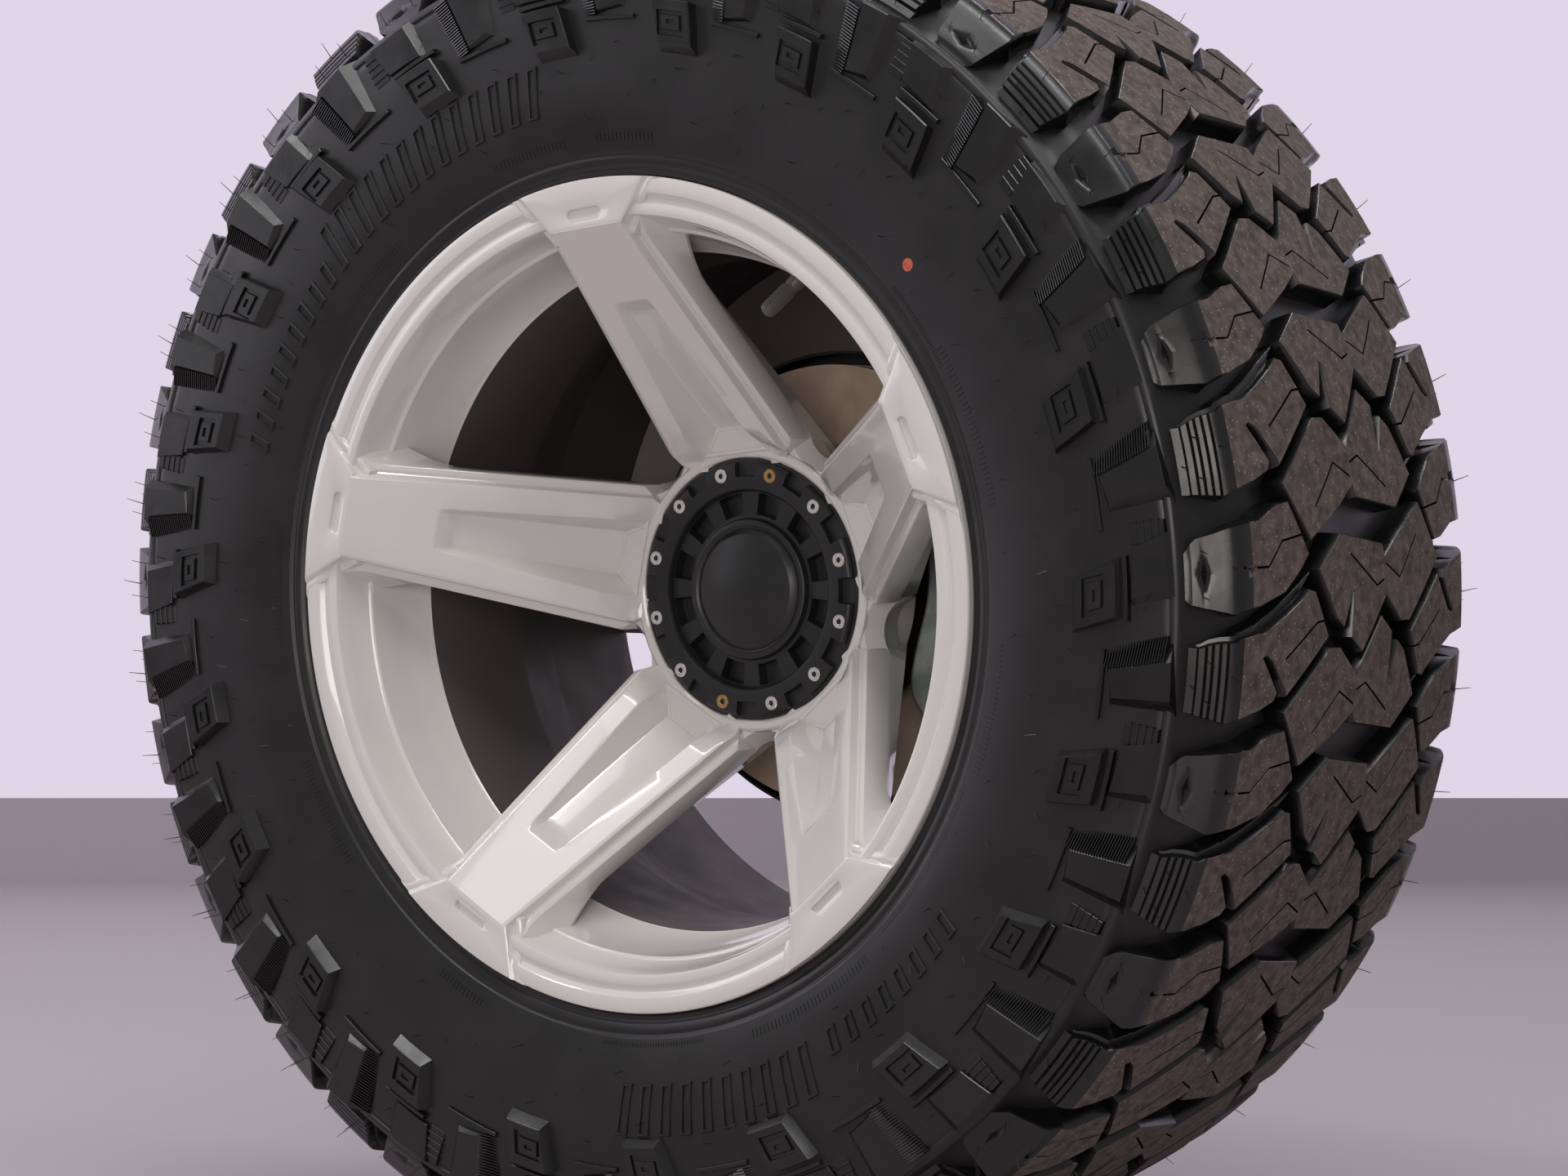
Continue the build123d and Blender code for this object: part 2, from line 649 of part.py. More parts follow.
def caliper_body():
    """Floating caliper: piston housing, bridge over the disc and outer fingers."""
    face = inner_pad_back_y + piston_proud
    back = face + caliper_body_depth
    finger = outer_pad_back_y
    finger_front = finger - finger_thickness
    inner = disc_radius + disc_edge_gap
    low = brake_pad_inner - housing_overlap
    high = caliper_outer_radius + housing_overlap
    hook = brake_pad_inner + finger_inset
    back_corner = caliper_outer_radius - caliper_back_inset
    profile = [(low, face), (inner, face), (inner, finger), (hook, finger), (hook, finger_front),
               (high, finger_front), (high, back - caliper_bevel), (back_corner, back),
               (low + caliper_bevel, back), (low, back - caliper_bevel)]
    body = side_plate(profile, caliper_half)
    body = body & disc(caliper_outer_radius, finger_front - through, back + through)
    ears = bar(pin_place_radius - ear_half_high, pin_place_radius + ear_half_high, arm_outer_half,
               ear_y, ear_y + ear_thickness)
    body = body + ears
    hole = Pos(pin_place_radius, 0, 0) * disc(pin_radius, ear_y - through, ear_y + ear_thickness + through)
    body = body - Pos(0, 0, pin_half_pitch) * hole - Pos(0, 0, -pin_half_pitch) * hole
    window = bar(inner - disc_edge_gap, caliper_outer_radius + disc_edge_gap, caliper_window_half,
                 disc_outer_y - caliper_window_margin, disc_inner_y + caliper_window_margin)
    bore = Pos(brake_pad_middle, 0, 0) * disc(piston_radius, face - through, face + piston_bore_depth)
    port = Pos(brake_pad_middle, 0, 0) * disc(port_radius, back - port_depth, back + through)
    return body - window - bore - port


def caliper_piston():
    """Piston that bears on the inner pad."""
    end = inner_pad_back_y + piston_length
    return Pos(brake_pad_middle, 0, 0) * disc(piston_radius, inner_pad_back_y, end, piston_bore_radius)


def brake_pad(y_disc, sense):
    """One pad: friction block and backing plate, sense +1 on the inboard side."""
    near = y_disc + sense * pad_gap
    middle = near + sense * friction_thickness
    far = middle + sense * backing_thickness
    reach = 2 * brake_pad_outer
    spread = reach * sin(radians(brake_pad_angle / 2)) / cos(radians(brake_pad_angle / 2))
    wedge = plate([(0, 0), (reach, -spread), (reach, spread)], min(near, far), max(near, far))
    block = disc(brake_pad_outer, min(near, middle), max(near, middle), brake_pad_inner) & wedge
    back = disc(brake_pad_outer, min(middle, far), max(middle, far), brake_pad_inner - backing_lip) & wedge
    return block + back


def guide_pins():
    """Pins on which the caliper floats."""
    end = ear_y + ear_thickness
    head_end = Plane((0, end + pin_head_height, 0), z_dir=(0, -1, 0))
    head = extrude(head_end * RegularPolygon(pin_head_radius, 6), amount=pin_head_height)
    pin = disc(pin_radius, bracket_y, end) + head
    return Compound(children=[Pos(pin_place_radius, 0, side * pin_half_pitch) * pin for side in (1, -1)])


os.makedirs("parts", exist_ok=True)
save("tyre", tyre())
save("rim_barrel", rim_barrel())
save("wheel_face", wheel_face())
save("cap_ring", cap_ring())
save("cap_centre", cap_centre())
save("valve_stem", valve_stem())
save("axle_shaft", axle_shaft())
save("brake_disc", brake_disc())
save("axle_tube", axle_tube())
save("wheel_bearing", wheel_bearing())
save("bearing_retainer", bearing_retainer())
save("dust_shield", dust_shield())
save("caliper_bracket", caliper_bracket())
save("caliper_body", caliper_body())
save("caliper_piston", caliper_piston())
save("brake_pad_outer", brake_pad(disc_outer_y, -1))
save("brake_pad_inner", brake_pad(disc_inner_y, 1))
save("guide_pins", guide_pins())
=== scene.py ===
import bpy
import numpy as np
from collections import namedtuple
from mathutils import Matrix


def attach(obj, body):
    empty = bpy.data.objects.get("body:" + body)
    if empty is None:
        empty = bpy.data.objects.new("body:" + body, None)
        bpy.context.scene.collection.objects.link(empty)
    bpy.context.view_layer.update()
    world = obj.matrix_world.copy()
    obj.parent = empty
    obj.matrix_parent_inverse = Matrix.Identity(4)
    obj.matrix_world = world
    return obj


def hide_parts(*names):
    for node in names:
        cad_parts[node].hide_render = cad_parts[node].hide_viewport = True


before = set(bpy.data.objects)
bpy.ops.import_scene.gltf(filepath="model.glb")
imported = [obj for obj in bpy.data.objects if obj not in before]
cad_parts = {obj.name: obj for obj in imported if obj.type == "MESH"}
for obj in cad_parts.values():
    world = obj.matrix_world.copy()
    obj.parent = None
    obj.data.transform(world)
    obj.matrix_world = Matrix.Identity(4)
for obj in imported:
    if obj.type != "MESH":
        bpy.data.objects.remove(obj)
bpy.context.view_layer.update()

# Setting: a pale studio floor under the tyre and a pale lilac wall behind, lit by soft panels.
# The camera stands where the photograph's stood, worked out from the circle of the rim.
AXLE_REACH = 300.0                      # tube end to the wheel's middle plane
RIM_HALF = 165.0                        # middle plane to the lip plane
CENTRE_Y = -AXLE_REACH
LIP_Y = CENTRE_Y - RIM_HALF
TYRE_RADIUS = 467.5
camera_place = (1573.7, LIP_Y - 1998.7, 96.2)
camera_right = (0.8117, 0.5841, 0.0)
camera_up = (-0.0209, 0.0291, 0.99935)
camera_back = (0.5837, -0.8112, 0.0358)
SENSOR_WIDTH = 36.0
FOCAL_PIXELS = 4744.0                   # on the photograph's 1920 columns
WALL_DISTANCE = 5074.0                  # camera to wall, so that the floor ends where it does there


def linear(code):
    """Linear colour of an sRGB hex code: each channel is taken back through the sRGB curve."""
    channels = np.array([int(code[i:i + 2], 16) for i in (1, 3, 5)]) / 255
    low = channels / 12.92
    high = ((channels + 0.055) / 1.055) ** 2.4
    return (*np.where(channels <= 0.04045, low, high), 1.0)


# a material with its node tree, main shader and object coordinates
Look = namedtuple("Look", "material tree shader place")


def new_look(name, colour, roughness, metallic=0.0, coat=0.0, specular=0.5):
    """A new material, its main shader set to these values."""
    material = bpy.data.materials.new(name)
    material.use_nodes = True
    tree = material.node_tree
    shader = tree.nodes["Principled BSDF"]
    for key, value in (("Base Color", linear(colour)), ("Roughness", roughness), ("Metallic", metallic),
                       ("Coat Weight", coat), ("Coat Roughness", 0.05), ("Specular IOR Level", specular)):
        shader.inputs[key].default_value = value
    return Look(material, tree, shader, tree.nodes.new("ShaderNodeTexCoord").outputs["Object"])


def add_node(look, kind, inputs, **settings):
    """Adds one shader node with its properties, and sets or links its inputs by name or number."""
    made = look.tree.nodes.new(kind)
    for key, value in settings.items():
        setattr(made, key, value)
    for key, value in inputs.items():
        if isinstance(value, bpy.types.NodeSocket):
            look.tree.links.new(value, made.inputs[key])
        else:
            made.inputs[key].default_value = value
    return made


def noise_of(look, size_mm, detail):
    """Noise whose patches are about size_mm across."""
    return add_node(look, "ShaderNodeTexNoise", {
        "Vector": look.place, "Scale": 1000 / size_mm, "Detail": detail}).outputs["Fac"]


def mottle(look, size_mm, dark, light, detail=4.0, low=0.35, high=0.65):
    """Two hex colours mixed by noise whose patches are about size_mm across."""
    ramp = add_node(look, "ShaderNodeValToRGB", {"Fac": noise_of(look, size_mm, detail)})
    for element, position, colour in zip(ramp.color_ramp.elements, (low, high), (dark, light)):
        element.position = position
        element.color = linear(colour)
    return ramp.outputs["Color"]


def tint(look, colour):
    """Gives the main shader its colour from a socket."""
    look.tree.links.new(colour, look.shader.inputs["Base Color"])


def grain(look, size_mm, height_mm, strength=1.0):
    """Fine bump from noise of grains size_mm across and height_mm high."""
    bump = add_node(look, "ShaderNodeBump", {"Height": noise_of(look, size_mm, 3.0), "Strength": strength,
                                             "Distance": height_mm / 1000})
    look.tree.links.new(bump.outputs["Normal"], look.shader.inputs["Normal"])


def smear(look, size_mm, low, high):
    """Roughness that wanders between low and high over patches size_mm across."""
    spread = add_node(look, "ShaderNodeMapRange", {"Value": noise_of(look, size_mm, 5.0), "From Min": 0.3,
                                                   "From Max": 0.7, "To Min": low, "To Max": high})
    look.tree.links.new(spread.outputs["Result"], look.shader.inputs["Roughness"])


def put_mesh(name, points, groups, looks, slots=None, smooth_angle=32.0):
    """A mesh object from points in millimetres and groups of faces, each group one array of corners."""
    mesh = bpy.data.meshes.new(name)
    corners = np.concatenate([group.ravel() for group in groups]).astype(np.int32)
    sizes = np.concatenate([np.full(len(group), group.shape[1]) for group in groups])
    starts = np.concatenate([[0], np.cumsum(sizes)[:-1]]).astype(np.int32)
    mesh.vertices.add(len(points))
    mesh.vertices.foreach_set("co", (np.asarray(points) / 1000).astype(np.float32).ravel())
    mesh.loops.add(len(corners))
    mesh.loops.foreach_set("vertex_index", corners)
    mesh.polygons.add(len(sizes))
    mesh.polygons.foreach_set("loop_start", starts)
    if slots is not None:
        index = np.concatenate([np.broadcast_to(s, len(g)) for g, s in zip(groups, slots)]).astype(np.int32)
        mesh.polygons.foreach_set("material_index", index)
    mesh.polygons.foreach_set("use_smooth", np.ones(len(sizes), bool))
    mesh.update(calc_edges=True)
    mesh.validate()
    mesh.set_sharp_from_angle(angle=np.radians(smooth_angle))
    for look in looks:
        mesh.materials.append(look.material)
    made = bpy.data.objects.new(name, mesh)
    bpy.context.scene.collection.objects.link(made)
    return made


def fit_piece(piece, body, slot, *nodes):
    """The piece rides on its body and stands for the nodes named; slot is not used."""
    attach(piece, body)
    if nodes:
        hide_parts(*nodes)


# The wall stands square to the camera and shows its plain colour there, with a skirting at its foot. A
# grey flag keeps light out of the rim from behind. The backs of all three let light and views through.
ahead = -np.array((*camera_back[:2], 0.0)) / np.hypot(*camera_back[:2])
side = np.array(camera_right)
wall_foot = np.array((*camera_place[:2], -TYRE_RADIUS - 1.0)) + WALL_DISTANCE * ahead
floor_paint = new_look("pale studio floor", "#B0A7AC", 0.45)
half_wall = 6000 * side
floor_corners = wall_foot + np.array([-half_wall - 12000 * ahead, half_wall - 12000 * ahead,
                                      half_wall, -half_wall])
put_mesh("studio_floor", floor_corners, [np.array([[0, 1, 2, 3]])], [floor_paint])
wall_paint = new_look("pale lilac wall", "#E6DEE9", 0.9)
path_kind = add_node(wall_paint, "ShaderNodeLightPath", {})
straight_or_glossy = add_node(wall_paint, "ShaderNodeMath", {
    0: path_kind.outputs["Is Camera Ray"], 1: path_kind.outputs["Is Glossy Ray"]},
    operation="ADD", use_clamp=True)
any_view = add_node(wall_paint, "ShaderNodeMath", {
    0: straight_or_glossy.outputs["Value"], 1: path_kind.outputs["Is Transmission Ray"]},
    operation="ADD", use_clamp=True)
seen = add_node(wall_paint, "ShaderNodeMixShader", {
    0: any_view.outputs["Value"], 1: wall_paint.shader.outputs["BSDF"],
    2: add_node(wall_paint, "ShaderNodeEmission", {"Color": linear("#DFD6E7")}).outputs["Emission"]})


def open_from_behind(look, front):
    """Mixes a shader with a clear one, so that a flat backdrop shows from its front only."""
    both = add_node(look, "ShaderNodeMixShader", {
        0: add_node(look, "ShaderNodeNewGeometry", {}).outputs["Backfacing"], 1: front,
        2: add_node(look, "ShaderNodeBsdfTransparent", {}).outputs["BSDF"]})
    look.tree.links.new(both.outputs["Shader"], look.tree.nodes["Material Output"].inputs["Surface"])


open_from_behind(wall_paint, seen.outputs["Shader"])
lift = np.array((0, 0, 5000.0))
wall_corners = wall_foot + np.array([-half_wall, half_wall, half_wall + lift, -half_wall + lift])
put_mesh("studio_wall", wall_corners, [np.array([[0, 1, 2, 3]])], [wall_paint])
skirting_paint = new_look("grey skirting", "#ABA1AC", 0.6)
board_lift = np.array((0, 0, 108.0))
board_corners = wall_foot - 12 * ahead + np.array([-half_wall, half_wall, half_wall + board_lift,
                                                   -half_wall + board_lift])
open_from_behind(skirting_paint, skirting_paint.shader.outputs["BSDF"])
put_mesh("studio_skirting", board_corners, [np.array([[0, 1, 2, 3]])], [skirting_paint])
flag_cloth = new_look("grey flag cloth", "#77726F", 0.95, specular=0.2)
open_from_behind(flag_cloth, flag_cloth.shader.outputs["BSDF"])
flag_turn = np.radians(np.linspace(-10, 190, 61))
FLAG_RADIUS = 249.8                     # just over the barrel's bore, so that no light slips past
flag_corners = np.column_stack([FLAG_RADIUS * np.cos(flag_turn), np.full(61, CENTRE_Y + RIM_HALF - 9),
                                FLAG_RADIUS * np.sin(flag_turn)])
put_mesh("rim_flag", flag_corners, [np.arange(61)[None, :]], [flag_cloth])

world = bpy.data.worlds.new("studio")
bpy.context.scene.world = world
world.use_nodes = True
world.node_tree.nodes["Background"].inputs["Color"].default_value = linear("#F1EDF2")
world.node_tree.nodes["Background"].inputs["Strength"].default_value = 0.35
bpy.context.scene.view_settings.view_transform = "Standard"

# name, place and target in millimetres, size in metres, watts, colour
lamps = (
    ("overhead_panel", (600, -1500, 2600), (0, -300, 0), (2.6, 1.2), 22.0, "#FFFDFB"),
    ("left_panel", (-2600, -1400, 900), (0, -300, 0), (2.2, 1.8), 21.0, "#F3EFFA"),
    ("front_panel", (1500, -3600, 500), (0, -300, 0), (1.8, 1.2), 34.0, "#FFF9F2"),
    ("near_strip", (0, -1300, 2300), (0, -400, 0), (3.2, 0.08), 18.0, "#FFFFFF"),
    ("far_strip", (200, 500, 2200), (0, -400, 0), (3.2, 0.08), 18.0, "#FFFFFF"),
)
for name, stand, target, extent, watts, colour in lamps:
    lamp = bpy.data.lights.new(name, "AREA")
    lamp.shape = "RECTANGLE"
    lamp.size, lamp.size_y = extent
    lamp.energy = watts
    lamp.color = linear(colour)[:3]
    lamp_object = bpy.data.objects.new(name, lamp)
    aim = np.subtract(target, stand)
    back = -aim / np.linalg.norm(aim)
    right = np.cross((0, 0, 1), back)
    right = right / np.linalg.norm(right)
    turn = np.eye(4)
    turn[:3, 0], turn[:3, 1], turn[:3, 2] = right, np.cross(back, right), back
    turn[:3, 3] = np.divide(stand, 1000)
    lamp_object.matrix_world = Matrix(turn.tolist())
    bpy.context.scene.collection.objects.link(lamp_object)

camera = bpy.data.cameras.new("camera")
camera.sensor_width = SENSOR_WIDTH
camera.lens = FOCAL_PIXELS / 1920 * SENSOR_WIDTH
camera_object = bpy.data.objects.new("camera", camera)
turn = np.eye(4)
turn[:3, 0], turn[:3, 1], turn[:3, 2] = camera_right, camera_up, camera_back
turn[:3, 3] = np.divide(camera_place, 1000)
camera_object.matrix_world = Matrix(turn.tolist())
bpy.context.scene.collection.objects.link(camera_object)
bpy.context.scene.camera = camera_object

# Tyre carcass: one vulcanised piece of black rubber, 37 inches tall, with a smooth side wall, a step
# under the tread's ridge and fine bead lines at the rim. Its profile is turned about the axle.
side_profile = np.array([
    # radius, distance from the middle plane
    (452.5, 0), (452, 40), (450.2, 80), (446.5, 115), (441.5, 138), (436, 148), (430, 157), (427, 165),
    (426, 168.5), (421.5, 170), (420, 168.5), (418.5, 169.5), (405, 170.4), (390, 171.6), (375, 172.2),
    (352, 172.6), (330, 172.2), (312, 169.8), (300, 167.4), (293, 165.6), (290.5, 165), (289.5, 163.6),
    (288.2, 163.2), (286.8, 163.8), (285, 163.6), (282, 162.6), (280.5, 161), (279, 160.6), (277, 160.9),
    (275.6, 159.6), (275.2, 157), (266, 154), (257.3, 151), (257.3, 128),
])
inner_profile = np.array([(300, 134), (372, 158), (420, 148), (436, 120), (438, 0)])


def smooth_curve(points, rounds):
    """Chaikin's rule: every corner is cut at a quarter of both its sides, rounds times, ends kept."""
    for _ in range(rounds):
        cut_a = 0.75 * points[:-1] + 0.25 * points[1:]
        cut_b = 0.25 * points[:-1] + 0.75 * points[1:]
        middle = np.stack([cut_a, cut_b], axis=1).reshape(-1, points.shape[1])
        points = np.concatenate([points[:1], middle[1:-1], points[-1:]])
    return points


def ring_quads(rows, columns, wrap_rows=False):
    """Corners of the quads between the rows of a grid whose columns close up into rings."""
    i = np.arange(rows if wrap_rows else rows - 1)[:, None]
    j = np.arange(columns)[None, :]
    low, high = i * columns, (i + 1) % rows * columns
    following = (j + 1) % columns
    return np.stack([low + j, low + following, high + following, high + j], axis=-1).reshape(-1, 4)


def end_faces(rows, columns):
    """Corners of the two faces that close the first and the last ring of such a grid."""
    return np.stack([np.arange(columns)[::-1], (rows - 1) * columns + np.arange(columns)])


def area(loop):
    """Signed area of a closed outline, positive where it runs anticlockwise."""
    following = np.roll(loop, -1, axis=0)
    return 0.5 * np.sum(loop[:, 0] * following[:, 1] - following[:, 0] * loop[:, 1])


def turned(profile, segments):
    """A closed (radius, y) outline turned about the axle: x = r cos a, z = r sin a, faces outwards."""
    profile = np.asarray(profile, float)
    profile = profile if area(profile) < 0 else profile[::-1]
    angle = np.linspace(0, 2 * np.pi, segments, endpoint=False)
    radius, y = profile[:, 0, None], profile[:, 1, None]
    points = np.stack([radius * np.cos(angle), y + 0 * angle, radius * np.sin(angle)], axis=-1)
    return points.reshape(-1, 3), ring_quads(len(profile), segments, wrap_rows=True)[:, ::-1]


rubber = new_look("moulded tyre rubber", "#171616", 0.4, specular=0.5)
# Carbon black rubber from a polished mould: a soft even sheen with faint patches of bloom.
tint(rubber, mottle(rubber, 60, "#151414", "#1A1919"))
smear(rubber, 45, 0.30, 0.46)
grain(rubber, 1.2, 0.05, 0.3)
lug_rubber = new_look("glossy lug rubber", "#121111", 0.26, specular=0.6)
# The same rubber where the mould is polished for the lugs: darker, with wet-looking glints.
tint(lug_rubber, mottle(lug_rubber, 40, "#100F0F", "#151414"))
smear(lug_rubber, 30, 0.18, 0.34)
grain(lug_rubber, 9.0, 0.25, 0.3)

half_outline = np.concatenate([smooth_curve(side_profile, 1), inner_profile])
left_half = half_outline * (1, -1) + (0, CENTRE_Y)
right_half = half_outline * (1, 1) + (0, CENTRE_Y)
points, quads = turned(np.concatenate([left_half[1:], right_half[::-1][:-1]]), 264)
carcass = put_mesh("tyre_carcass", points, [quads], [rubber])
fit_piece(carcass, "wheel", "tyre", "tyre")

# Tread blocks: part of the same moulding. Twenty-two lugs go round in four lengths of pitch, mixed so
# that the tyre doesn't hum on one note. Every block has a dusty top, walls with a little draft for
# the mould, and thin sipes. The inboard half is the same pattern turned end for end.
TREAD_HALF = 147.5
EDGE_RADIUS = 457.5
PITCH_LENGTH = 133.5                    # mean pitch round the crown
MATE_SHIFT = 0.586                      # inboard half, in pitches after the outboard half
PATTERN_START = np.radians(1.25)
pitch_degrees = {"A": 15.15, "B": 16.05, "C": 16.9, "D": 17.65}
pitch_order = "DBBAABCDBAABACBDACDDCC"
PITCHES = len(pitch_order)
pitch_ends = np.concatenate([[0.0], np.cumsum([pitch_degrees[letter] for letter in pitch_order])])
pitch_ends = pitch_ends * 2 * np.pi / pitch_ends[-1]

# The skin under the blocks, a point every millimetre: crowned as far as the tread's edge, then down the
# shoulder by 60 degrees, with its corner rounded by a running mean over 13 mm.
skin_steps = np.arange(-6.0, 207.0)
down = np.maximum(skin_steps - TREAD_HALF, 0)
flat_part = np.minimum(skin_steps, TREAD_HALF)
raw_radius = TYRE_RADIUS - (TYRE_RADIUS - EDGE_RADIUS) * (flat_part / TREAD_HALF) ** 2 - down * 0.866
raw_lateral = flat_part + down * 0.5
window = np.ones(13) / 13
skin_path = skin_steps[6:-6]
skin_radius = np.convolve(raw_radius, window, "valid")
skin_lateral = np.convolve(raw_lateral, window, "valid")


def pattern_angle(place):
    """Angle round the wheel of a place counted in pitches, each pitch with its own length."""
    turns = np.floor(place / PITCHES)
    within = np.interp(place - PITCHES * turns, np.arange(PITCHES + 1), pitch_ends)
    return PATTERN_START + 2 * np.pi * turns + within


def on_skin(form):
    """(mm outboard along the tread and down its shoulder, mm round, height) as (radius, share, lateral).

    Heights stand off straight out on the crown and lean outboard by 60 degrees down the shoulder.
    """
    out, round_mm, height = form[..., 0], form[..., 1], form[..., 2]
    distance = np.abs(out)
    lean = np.radians(np.interp(distance, (120, 170), (0, 60)))
    radius = np.interp(distance, skin_path, skin_radius) + height * np.cos(lean)
    lateral = np.interp(distance, skin_path, skin_lateral) + height * np.sin(lean)
    return np.stack([radius, round_mm / PITCH_LENGTH, np.sign(out) * lateral], axis=-1)


def inset(loop, distances):
    """Anticlockwise corners moved inwards, each side by its own distance.

    With unit normals a and b of its two sides, a corner moves by x where a.x and b.x are the two
    distances; where the sides are in line it moves by their mean.
    """
    sides = np.roll(loop, -1, axis=0) - loop
    after = np.stack([-sides[:, 1], sides[:, 0]], axis=1) / np.linalg.norm(sides, axis=1)[:, None]
    before = np.roll(after, 1, axis=0)
    far = np.broadcast_to(distances, len(loop))[:, None]
    near = np.roll(far, 1, axis=0)
    turn = np.sum(before * after, axis=1)[:, None]
    crossing = near * (before - turn * after) + far * (after - turn * before)
    straight = 0.5 * (near + far) * after
    return loop + np.where(turn > 0.995, straight, crossing / np.maximum(1 - turn ** 2, 0.01))


def refine(loop, counts):
    """Adds evenly spaced points to each side of an outline: side i gets counts[i] pieces."""
    sides = zip(loop, np.roll(loop, -1, axis=0), counts)
    return np.concatenate([p + (q - p) * np.arange(n)[:, None] / n for p, q, n in sides])


def slit(path, half=0.4):
    """Corners of a narrow cut that runs in from the outline along a path and back out again."""
    path = np.array(path, float) * (1, PITCH_LENGTH)
    along = np.gradient(path, axis=0)
    along = along / np.linalg.norm(along, axis=1)[:, None]
    across = half * np.stack([-along[:, 1], along[:, 0]], axis=1)
    return np.concatenate([path + across, (path - across)[::-1]])


# height, then how far each kind of side has moved in by then
wall_steps = (
    (-19.0, {"plain": -2.0, "stepped": -6.0, "sipe": 0.0, "joined": 0.0}),
    (-6.7, {"plain": -0.75, "stepped": -5.2, "sipe": 0.0, "joined": 0.0}),
    (-6.1, {"plain": -0.7, "stepped": -4.6, "sipe": 0.0, "joined": 0.0}),
    (-5.9, {"plain": -0.65, "stepped": -0.7, "sipe": 0.0, "joined": 0.0}),
    (-0.7, {"plain": 0.0, "stepped": 0.0, "sipe": 0.05, "joined": 0.0}),
    (0.0, {"plain": 0.5, "stepped": 0.5, "sipe": 0.3, "joined": 0.0}),
)


def raised_block(runs, spacing=14.0):
    """Loops of a block from runs of (kind of side, corners), base first, its top last."""
    corners, kinds = [], []
    for kind, run in runs:
        run = slit(run) if kind == "sipe" else np.array(run, float) * (1, PITCH_LENGTH)
        corners.append(run)
        kinds += [kind] * (len(run) - 1) + ["plain" if kind in ("sipe", "stepped") else kind]
    corners = np.concatenate(corners)
    lengths = np.linalg.norm(np.roll(corners, -1, axis=0) - corners, axis=1)
    counts = np.maximum(1, np.ceil(lengths / spacing).astype(int))
    loops = []
    for height, moves in wall_steps:
        flat = refine(inset(corners, np.array([moves[kind] for kind in kinds])), counts)
        loops.append(np.column_stack([flat, np.full(len(flat), height)]))
    return np.stack(loops)


def spread_round(forms):
    """Sets forms in every pitch, with their mates turned end for end on the inboard side.

    A form is (loops, slot of its walls, slot of its cap), its points (radius, share of a pitch,
    lateral). Share v of lug k lies at pitch k - v, and its mate's at k + v + the shift.
    """
    lugs = np.arange(PITCHES)[:, None]
    points, groups, slots = [], [], []
    offset = 0
    for loops, wall_slot, cap_slot in forms:
        k, n = loops.shape[:2]
        radius, share, lateral = loops.reshape(-1, 3).T
        quads = ring_quads(k, n)
        caps = end_faces(k, n)
        for sense in (1, -1):
            angle = pattern_angle(lugs - share if sense == 1 else lugs + share + MATE_SHIFT)
            points.append(np.stack([radius * np.cos(angle), CENTRE_Y - sense * lateral + 0 * angle,
                                    radius * np.sin(angle)], axis=-1).reshape(-1, 3))
            shift = (offset + lugs * k * n)[:, :, None]
            groups += [(quads + shift).reshape(-1, 4), (caps[:1] + shift).reshape(-1, n),
                       (caps[1:] + shift).reshape(-1, n)]
            slots += [np.tile(wall_slot, PITCHES) if np.ndim(wall_slot) else wall_slot, 0, cap_slot]
            offset += PITCHES * k * n
    return np.concatenate(points), groups, slots


tread_rubber = new_look("dusty tread rubber", "#53463F", 0.78, specular=0.3)
# The faces that touch the road are dull and brown with dust, with specks of sand caught in them.
dust = mottle(tread_rubber, 7, "#443C38", "#6E635D", detail=8.0, low=0.3, high=0.72)
specks = add_node(tread_rubber, "ShaderNodeTexVoronoi", {"Vector": tread_rubber.place, "Scale": 1000 / 4.0})
speck_mask = add_node(tread_rubber, "ShaderNodeMapRange", {
    "Value": specks.outputs["Distance"], "From Min": 0.09, "From Max": 0.2, "To Min": 0.8, "To Max": 0.0})
speckled = add_node(tread_rubber, "ShaderNodeMix", {
    0: speck_mask.outputs["Result"], 6: dust, 7: linear("#A59385")}, data_type="RGBA")
tint(tread_rubber, speckled.outputs[2])
grain(tread_rubber, 1.5, 0.15, 0.6)

tread_blocks = (
    # long shoulder block as far out as its 130 mm, with a hooked notch from the inner side
    (("plain", ((70.9, -.001), (77.7, -.010))), ("stepped", ((82.9, .021), (105.4, .108), (122.7, .164))),
     ("joined", ((130, .173), (130, .524))),
     ("plain", ((125.6, .516), (111.5, .479), (108.8, .439), (125.6, .284), (122.8, .272), (116.2, .298),
                (99.8, .44), (98.7, .461), (55.2, .204))),
     ("sipe", ((60.7, .132), (68.7, .138), (102.2, .292)))),
    # short shoulder block as far out as its 133 mm
    (("plain", ((95.6, -.387), (107.7, -.375), (126.9, -.314))), ("joined", ((133, -.308), (133, .055))),
     ("plain", ((125, .044), (104.1, -.002), (86.4, -.095), (76.8, -.160))),
     ("sipe", ((83.7, -.243), (105.3, -.220), (120.6, -.113), (132.7, -.112)))),
    # outer crown block
    (("plain", ((40.5, -.745), (52.4, -.744), (99, -.465), (73.5, -.217), (37.1, -.356), (16, -.452))),
     ("sipe", ((16.2, -.475), (37.7, -.545), (65.1, -.36))), ("plain", ((16.5, -.61),))),
    # inner crown block, with a wedge cut in its lower side
    (("plain", ((38.5, -.241), (66, -.093), (46, .123), (36.5, .168), (26, .01), (25, .012), (27, .214),
                (12.5, .285), (-17.5, .04))), ("sipe", ((-21, -.052), (-5.4, -.011), (27.4, -.151))),
     ("plain", ((-15, -.192),))),
)
points, groups, slots = spread_round([(on_skin(raised_block(runs)), 0, 1) for runs in tread_blocks])
blocks = put_mesh("tread_blocks", points, groups, [lug_rubber, tread_rubber], slots)
fit_piece(blocks, "wheel", "tyre", "tyre")

